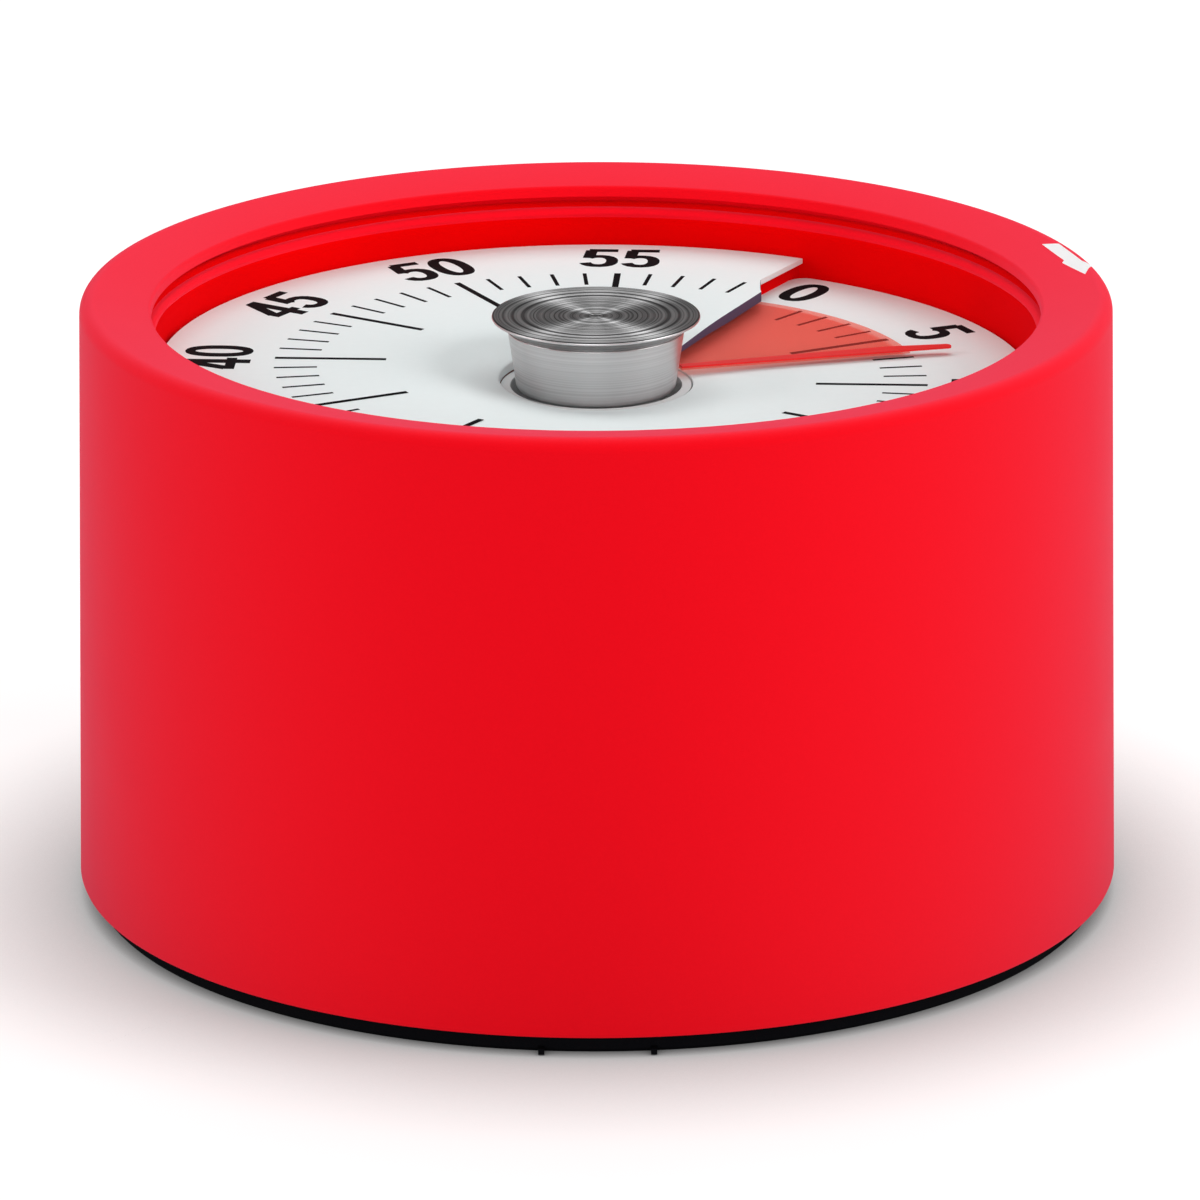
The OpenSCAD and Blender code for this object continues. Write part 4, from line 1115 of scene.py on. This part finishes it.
class Digits:
    """Wide bold digits, each drawn with strokes of a pen in a box from 0 to 1 both ways."""

    pen = 0.31
    squash = 0.48
    bow_steps = 16
    bow_power = 0.86

    @classmethod
    def strokes(cls, digit: str) -> list[list[Point2]]:
        """Gives the outlines of a digit's strokes."""
        low, high = cls.pen * cls.squash / 2, 1 - cls.pen * cls.squash / 2
        left, right = cls.pen / 2, 1 - cls.pen / 2
        paths = {
            "0": [cls.bow(0.5, 0.5, right - 0.5, high - 0.5, start, start + 200) for start in (80, 260)],
            "1": [[(0.62, 0.0), (0.62, 1.0)], [(0.60, high), (0.42, 0.80), (0.20, 0.76)]],
            "2": [[*cls.bow(0.5, 0.68, right - 0.5, high - 0.68, 175, -35), (left, low)],
                  [(left - 0.1, low), (1.0, low)]],
            "3": [cls.bow(0.48, 0.735, 0.32, high - 0.735, 165, -90),
                  cls.bow(0.48, 0.30, 0.36, 0.30 - low, 90, -165)],
            "4": [[(0.70, 0.0), (0.70, 1.0)], [(0.64, 0.97), (0.13, 0.34)], [(0.02, 0.28), (1.0, 0.28)]],
            "5": [[(0.95, high), (0.20, high)], [(0.26, high), (0.21, 0.50)],
                  cls.bow(0.48, 0.335, 0.36, 0.335 - low, 140, -160)],
        }
        return [cls.ribbon(path) for path in paths[digit]]

    @classmethod
    def bow(cls, x: float, y: float, wide: float, tall: float, start: float, end: float) -> list[Point2]:
        """Lists points along part of a squarish ellipse."""
        points = []
        for k in range(cls.bow_steps + 1):
            turn = math.radians(start + (end - start) * k / cls.bow_steps)
            across, up = (math.copysign(abs(part) ** cls.bow_power, part)
                          for part in (math.cos(turn), math.sin(turn)))
            points.append((x + wide * across, y + tall * up))
        return points

    @classmethod
    def ribbon(cls, path: Sequence[Point2]) -> list[Point2]:
        """Gives the outline of a stroke, whose pen is wide and less tall."""
        flat = [Vector((x, y / cls.squash)) for x, y in path]
        near, far = [], []
        for k, here in enumerate(flat):
            before = (here - flat[k - 1]).normalized() if k else None
            after = (flat[k + 1] - here).normalized() if k + 1 < len(flat) else None
            along = ((before or after) + (after or before)).normalized()
            reach = cls.pen / 2 / max(0.5, along.dot(before or along))
            across = Vector((-along.y, along.x)) * reach
            near.append(here + across)
            far.append(here - across)
        outline = [(q.x, q.y * cls.squash) for q in [*near, *reversed(far)]]
        area = sum(a[0] * b[1] - b[0] * a[1] for a, b in zip(outline, [*outline[1:], outline[0]]))
        return outline if area > 0 else outline[::-1]


@dataclass
class MarkRing:
    """A ring of radial minute marks that follow the dial's ramp, made with geometry nodes."""

    plan: DialPlan
    finish: Finish
    count: int = 59
    long_every: int = 5

    def tree(self) -> bpy.types.NodeTree:
        """Builds the node tree of the marks.

        Returns:
            The tree, with its sizes as named inputs.
        """
        w, given = open_shape("minute_mark_ring", ("Outer Radius", "Inner Radius", "Width",
                                                   "Long Inner Radius", "Long Width", "Thickness",
                                                   "Shift", "Turn"))
        plan = self.plan
        line = w.add("GeometryNodeMeshLine", {"Count": self.count})
        minute = w.calc("ADD", w.add("GeometryNodeInputIndex").outputs[0], 1.0)
        is_long = w.calc("COMPARE", w.calc("MODULO", minute, float(self.long_every)), 0.0)
        w.feed(is_long.node.inputs[2], 0.5)

        def choose(short: str, long: str) -> bpy.types.NodeSocket:
            """Gives the short mark's size, or the long one's on every fifth minute."""
            return w.add("ShaderNodeMapRange", {"Value": is_long, "To Min": given.outputs[short],
                                                "To Max": given.outputs[long]}).outputs["Result"]

        inner = choose("Inner Radius", "Long Inner Radius")
        width = choose("Width", "Long Width")
        outer = given.outputs["Outer Radius"]
        middle = w.calc("MULTIPLY", w.calc("ADD", inner, outer), 0.5)
        turn = w.calc("RADIANS", w.calc("ADD", w.calc("MULTIPLY", minute, -plan.minute_step),
                                        90.0 - plan.zero_azimuth))
        turn = w.calc("SUBTRACT", turn, given.outputs["Turn"])
        ramp = w.add("ShaderNodeMapRange", {"Value": minute, "From Min": plan.ramp_start,
                                            "From Max": plan.ramp_end, "To Min": plan.low,
                                            "To Max": plan.low + plan.rise},
                     interpolation_type="SMOOTHSTEP")
        height = w.calc("ADD", ramp.outputs["Result"],
                        w.calc("MULTIPLY", given.outputs["Thickness"], 0.5))
        across = w.calc("ADD", w.calc("MULTIPLY", middle, w.calc("COSINE", turn)), given.outputs["Shift"])
        place = w.add("ShaderNodeCombineXYZ", {"X": across, "Z": height,
                                               "Y": w.calc("MULTIPLY", middle, w.calc("SINE", turn))})
        points = w.add("GeometryNodeSetPosition", {"Geometry": line.outputs[0],
                                                   "Position": place.outputs[0]})
        bar = w.add("GeometryNodeMeshCube", {"Size": (1.0, 1.0, 1.0)})
        size = w.add("ShaderNodeCombineXYZ", {"X": w.calc("SUBTRACT", outer, inner), "Y": width,
                                              "Z": given.outputs["Thickness"]})
        facing = w.add("ShaderNodeCombineXYZ", {"Z": turn})
        bars = w.add("GeometryNodeInstanceOnPoints", {"Points": points.outputs[0],
                                                      "Instance": bar.outputs[0],
                                                      "Rotation": facing.outputs[0],
                                                      "Scale": size.outputs[0]})
        return close_shape(w, given, bars.outputs[0])

    def build(self, name: str, sizes: dict[str, float]) -> bpy.types.Object:
        """Makes the marks as one plain mesh.

        Args:
            name: Name of the object.
            sizes: The tree's sizes, by name.

        Returns:
            The marks.
        """
        return grow(name, self.tree(), sizes, self.finish)


def grow(name: str, tree: bpy.types.NodeTree, sizes: dict[str, float],
         finish: Finish) -> bpy.types.Object:
    """Runs a geometry node tree and keeps what it makes as a plain mesh.

    Args:
        name: Name of the new object.
        tree: The tree.
        sizes: Its sizes, by name.
        finish: The finish of what it makes.

    Returns:
        The new object.
    """
    seed = link(name + "_seed", bpy.data.meshes.new(name + "_seed"))
    modifier = seed.modifiers.new("grow", "NODES")
    modifier.node_group = tree
    sockets = {item.name: item.identifier for item in tree.interface.items_tree
               if item.item_type == "SOCKET" and item.in_out == "INPUT"}
    for label, value in {**sizes, "Finish": finish.material()}.items():
        modifier[sockets[label]] = value
    bpy.context.view_layer.update()
    graph = bpy.context.evaluated_depsgraph_get()
    mesh = bpy.data.meshes.new_from_object(seed.evaluated_get(graph))
    bpy.data.objects.remove(seed)
    return link(name, mesh)


# ---------- film ----------


@dataclass
class FilmSet:
    """The red film that comes out of the slit, and the pointer along its leading edge.

    The rest, the stretch over the hub's rim and the gap at the film's start are in minutes.
    """

    plan: DialPlan
    rest_minutes: float = 7.0
    film_thickness: float = 0.12 * MM
    film_radius: float = 24.3 * MM
    wall_radius: float = 7.12 * MM
    root_radius: float = 6.6 * MM
    over_rim: float = -6.7
    start_gap: float = 0.4
    step_minutes: float = 0.1
    covered_steps: int = 180
    open_steps: int = 60
    edge: float = 0.02 * MM
    pointer_thickness: float = 0.14 * MM
    pointer_reach: float = 27.6 * MM
    pointer_tip: float = 0.8 * MM
    pointer_width: float = 1.3 * MM
    pointer_bend: float = 22.8 * MM
    pointer_root: float = 0.7 * MM
    pointer_sink: float = 0.01 * MM

    def underside(self, minute: float, radius: float) -> float:
        """Gives the height of the film's underside, the same at every radius."""
        return self.plan.film_height(minute)

    def face(self, minute: float, radius: float) -> float:
        """Gives the height of the film's upper face, the same at every radius."""
        return self.underside(minute, radius) + self.film_thickness

    def build_film(self) -> None:
        """Builds and dresses the film."""
        start, over = self.rest_minutes - 60 + self.start_gap, self.over_rim + self.step_minutes
        covered = [start, *spaced(start, self.over_rim, self.covered_steps)]
        bare = [over, *spaced(over, self.rest_minutes, self.open_steps)]
        stations = [(minute, (self.wall_radius, self.film_radius)) for minute in covered]
        stations += [(minute, (self.root_radius, self.film_radius)) for minute in bare]
        film = self.plan.sheet("film_sheet", stations, self.underside, self.face, self.edge)
        paint(film, FILM_RED)
        settle(film, "film", "film_red", "film_disc")

    def build_pointer(self) -> None:
        """Builds the tapered strip that points at the minute."""
        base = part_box("pointer")[0].z - self.pointer_sink
        azimuth = self.plan.azimuth(self.rest_minutes)
        along = polar(1.0, azimuth, 0.0)
        side = Vector((-along.y, along.x, 0.0))
        root, reach, tip = self.root_radius, self.pointer_reach, self.pointer_tip
        corners = [(root, 0.0, 0.0), (reach, 0.0, tip * 0.4), (reach, tip, tip * 0.45),
                   (self.pointer_bend, self.pointer_width, self.pointer_width),
                   (root, self.pointer_root, 0.0)]
        points, triangles = fill_outline(rounded(corners))

        def place(x: float, y: float, lift: float) -> Vector:
            """Lays a point of the strip on the film."""
            return along * x + side * y + Vector((0.0, 0.0, base + lift))

        pointer = thicken("pointer_strip", points, triangles, place, self.pointer_thickness)
        paint(pointer, POINTER_RED)
        settle(pointer, "film", "pointer_red", "pointer")


# ---------- knob ----------


@dataclass
class Knob:
    """The spun metal knob, with a thin lip over its flared skirt."""

    foot_radius: float = 5.9 * MM
    skirt_radius: float = 6.55 * MM
    core_radius: float = 4.5 * MM
    core_top: float = 1.5 * MM
    edge: float = 0.13 * MM
    lip: float = 0.28 * MM
    neck: float = 1.0 * MM
    bead: float = 0.08 * MM
    dish: float = 0.1 * MM
    foot_round: float = 0.16 * MM
    facets: int = 192
    crease: float = 28.0
    low: Vector = field(init=False)
    high: Vector = field(init=False)

    def __post_init__(self) -> None:
        """Takes the knob's reach from its node."""
        self.low, self.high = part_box("knob_cap")

    def profile(self) -> list[Point2]:
        """Gives the cap's closed profile, from the middle of its top outwards."""
        top, foot, reach = self.high.z, self.low.z, self.high.x
        edge, bead = self.edge, self.bead
        rim = arc((reach - edge, top - edge), edge, 90, -40, 8)
        swell = arc((self.skirt_radius, top - self.neck - bead), bead, 90, -80, 8)
        return [(0.0, top - self.dish), (reach / 2, top - self.dish * 0.8),
                (reach - edge * 3, top - self.dish * 0.3), (reach - edge * 1.8, top), *rim,
                (reach - edge * 2, top - self.lip), (self.skirt_radius + bead, top - self.neck + bead),
                *swell, (self.foot_radius + self.foot_round / 4, foot + self.foot_round),
                (self.foot_radius - self.foot_round / 2, foot), (self.core_radius, foot),
                (self.core_radius, top - self.core_top), (0.0, top - self.core_top)]

    def build(self) -> None:
        """Builds the cap, with a spun top, a satin side and a neck under the lip in a darker copy of the
        side's metal, as painted shade.
        """
        cap = lathe("knob_shell", self.profile(), self.facets, self.crease)
        for finish in (KNOB_TOP, KNOB_SIDE, KNOB_NECK_SHADED):
            cap.data.materials.append(finish.material())
        top = self.high.z
        for face in cap.data.polygons:
            middle = face.center.z
            on_top = middle > top - self.dish * 1.2 and face.normal.z > 0.6
            # Faces under the lip take the darker metal as painted shade.
            under_lip = top - self.neck < middle < top - self.lip + self.edge / 4
            face.material_index = 0 if on_top else 2 if under_lip else 1
        settle(cap, "knob_and_arbor", "knob_metal", "knob_cap")


# ---------- movement ----------


@dataclass
class Mainspring:
    """The wound strip between the arbor and its stud, made with geometry nodes."""

    coils: int = 7
    steps: int = 64
    strip: float = 0.35 * MM
    inner: float = 2.5 * MM
    outer: float = 15.0 * MM

    def build(self) -> None:
        """Builds and dresses the spring."""
        low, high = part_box("mainspring")
        sizes = {"Inner Radius": self.inner, "Outer Radius": self.outer, "Turns": float(self.coils),
                 "Strip": self.strip, "Width": high.z - low.z, "Bottom": low.z}
        w, given = open_shape("wound_strip", list(sizes))
        half = w.calc("MULTIPLY", given.outputs["Strip"], 0.5)
        coil = w.add("GeometryNodeCurveSpiral", {
            "Resolution": self.steps, "Rotations": given.outputs["Turns"], "Height": 0.0,
            "Start Radius": w.calc("ADD", given.outputs["Inner Radius"], half),
            "End Radius": w.calc("ADD", given.outputs["Outer Radius"], half)})
        section = w.add("GeometryNodeCurvePrimitiveQuadrilateral",
                        {"Width": given.outputs["Strip"], "Height": given.outputs["Width"]})
        strip = w.add("GeometryNodeCurveToMesh", {"Curve": coil.outputs[0],
                                                  "Profile Curve": section.outputs[0],
                                                  "Fill Caps": True})
        lift = w.calc("ADD", given.outputs["Bottom"], w.calc("MULTIPLY", given.outputs["Width"], 0.5))
        offset = w.add("ShaderNodeCombineXYZ", {"Z": lift})
        moved = w.add("GeometryNodeTransform", {"Geometry": strip.outputs[0],
                                                "Translation": offset.outputs[0],
                                                "Rotation": (0.0, 0.0, math.pi)})
        spring = grow("mainspring_strip", close_shape(w, given, moved.outputs[0]), sizes, SPRING_STEEL)
        tidy_mesh(spring)
        settle(spring, "housing", "spring_steel", "mainspring")


class Movement:
    """The pieces that keep the construction's own meshes, each with its finish."""

    def build(self) -> None:
        """Gives every kept node its finish."""
        for name, finish in NODE_FINISHES.items():
            paint(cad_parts[name], finish)
            LOG.info("%s: %s", name, finish.name)


# ---------- studio ----------


@dataclass(frozen=True)
class Softbox:
    """A rectangular lamp that is aimed at one point: its place, size and power in watts."""

    name: str
    place: tuple[float, float, float]
    size: Point2
    power: float

    def hang(self, aim: Vector) -> None:
        """Hangs the lamp so that it faces a point."""
        data = bpy.data.lights.new(self.name, "AREA")
        data.shape = "RECTANGLE"
        data.size, data.size_y = self.size
        data.energy = self.power
        lamp = link(self.name, data)
        lamp.location = self.place
        lamp.rotation_euler = (lamp.location - aim).to_track_quat("Z", "Y").to_euler()


@dataclass
class Studio:
    """Camera, floor, lamps and surroundings."""

    look_at: Vector = field(default_factory=lambda: Vector((0.244, 0.0, 22.06)) * MM)
    elevation: float = 17.68
    distance: float = 702 * MM
    focal_pixels: float = 9367.0
    frame_pixels: float = 1200.0
    sensor: float = 36.0
    roll: float = -0.145
    floor_half: float = 3.0
    world_level: float = 0.28
    floor_colour: float = 0.50
    floor_glow: float = 0.60
    contact_reach: float = 18 * MM
    nearest: float = 0.01
    farthest: float = 50.0
    lamp_aim: Vector = field(default_factory=lambda: Vector((0.0, 0.0, 0.03)))
    lamps: tuple[Softbox, ...] = (
        Softbox("key_right", (0.85, -0.20, 0.42), (0.5, 0.8), 5.4),
        Softbox("fill_left", (-0.90, -0.15, 0.35), (0.4, 0.7), 3.0),
        Softbox("overhead_back", (0.0, 0.45, 0.75), (0.9, 0.5), 3.2),
        Softbox("front_fill", (-0.1, -1.2, 0.32), (0.8, 0.5), 6.4))

    def build(self) -> None:
        """Sets everything up."""
        self.place_camera()
        self.lay_floor()
        for lamp in self.lamps:
            lamp.hang(self.lamp_aim)
        self.paint_world()
        bpy.context.scene.view_settings.view_transform = "Standard"

    def place_camera(self) -> None:
        """Sets the camera at the product view."""
        lift = math.radians(self.elevation)
        toward = Vector((0.0, -math.cos(lift), math.sin(lift)))
        data = bpy.data.cameras.new("product_view")
        data.sensor_width = self.sensor
        data.lens = self.focal_pixels / self.frame_pixels * self.sensor
        data.clip_start = self.nearest
        data.clip_end = self.farthest
        camera = link("product_view", data)
        camera.location = self.look_at + toward * self.distance
        facing = toward.to_track_quat("Z", "Y").to_matrix()
        turned = facing @ Matrix.Rotation(math.radians(self.roll), 3, "Z")
        camera.rotation_euler = turned.to_euler()
        bpy.context.scene.camera = camera

    def lay_floor(self) -> None:
        """Lays a pale floor that shows white where no shadow falls on it, with a painted contact shadow:
        ambient occlusion darkens its colour and its glow near the timer.
        """
        half = self.floor_half
        corners = [(-half, -half, 0.0), (half, -half, 0.0), (half, half, 0.0), (-half, half, 0.0)]
        mesh = bpy.data.meshes.new("studio_floor")
        mesh.from_pydata(corners, [], [(0, 1, 2, 3)])
        floor = link("studio_floor", mesh)
        material = bpy.data.materials.new("studio_floor")
        material.use_nodes = True
        material.node_tree.nodes.clear()
        w = Wiring(material.node_tree)
        # Painted shadow: ambient occlusion darkens the floor's colour and glow near the timer.
        painted_shade_ao = w.add("ShaderNodeAmbientOcclusion", {"Distance": self.contact_reach}).outputs["AO"]
        grey = w.calc("MULTIPLY", painted_shade_ao, self.floor_colour)
        tone = w.add("ShaderNodeCombineColor", {0: grey, 1: grey, 2: grey})
        paper = w.add("ShaderNodeBsdfDiffuse", {"Color": tone.outputs[0]})
        path = w.add("ShaderNodeLightPath")
        seen = w.calc("MAXIMUM", self.seen_directly(w), path.outputs["Is Glossy Ray"])
        glowing = w.calc("MULTIPLY", seen, w.calc("MULTIPLY", painted_shade_ao, self.floor_glow))
        glow = w.add("ShaderNodeEmission", {"Color": (1.0, 1.0, 1.0, 1.0), "Strength": glowing})
        both = w.add("ShaderNodeAddShader", {0: paper.outputs[0], 1: glow.outputs[0]})
        w.add("ShaderNodeOutputMaterial", {"Surface": both.outputs[0]})
        mesh.materials.append(material)

    @staticmethod
    def seen_directly(w: Wiring) -> bpy.types.NodeSocket:
        """Gives 1 for rays from the camera, also those through a clear body, and otherwise 0."""
        path = w.add("ShaderNodeLightPath")
        return w.calc("MAXIMUM", path.outputs["Is Camera Ray"], path.outputs["Is Transmission Ray"])

    def paint_world(self) -> None:
        """Surrounds the scene with soft light, white to the camera and pale in reflections."""
        world = bpy.data.worlds.new("studio")
        bpy.context.scene.world = world
        world.use_nodes = True
        world.node_tree.nodes.clear()
        w = Wiring(world.node_tree)
        level = w.add("ShaderNodeMapRange", {"Value": self.seen_directly(w),
                                             "To Min": self.world_level, "To Max": 1.0})
        light = w.add("ShaderNodeBackground", {"Color": (1.0, 1.0, 1.0, 1.0),
                                               "Strength": level.outputs["Result"]})
        w.add("ShaderNodeOutputWorld", {"Surface": light.outputs[0]})


def main() -> None:
    """Builds every part of the timer and the studio round it."""
    logging.basicConfig(level=logging.INFO, format="%(name)s: %(message)s")
    Studio().build()
    Movement().build()
    shell = Shell()
    shell.build()
    shell.build_arrow()
    BezelBand().build()
    plan = DialPlan()
    dial = Dial(plan)
    dial.build()
    dial.build_marks()
    dial.build_numerals()
    film = FilmSet(plan)
    film.build_film()
    film.build_pointer()
    Knob().build()
    Mainspring().build()


if __name__ == "__main__":
    main()
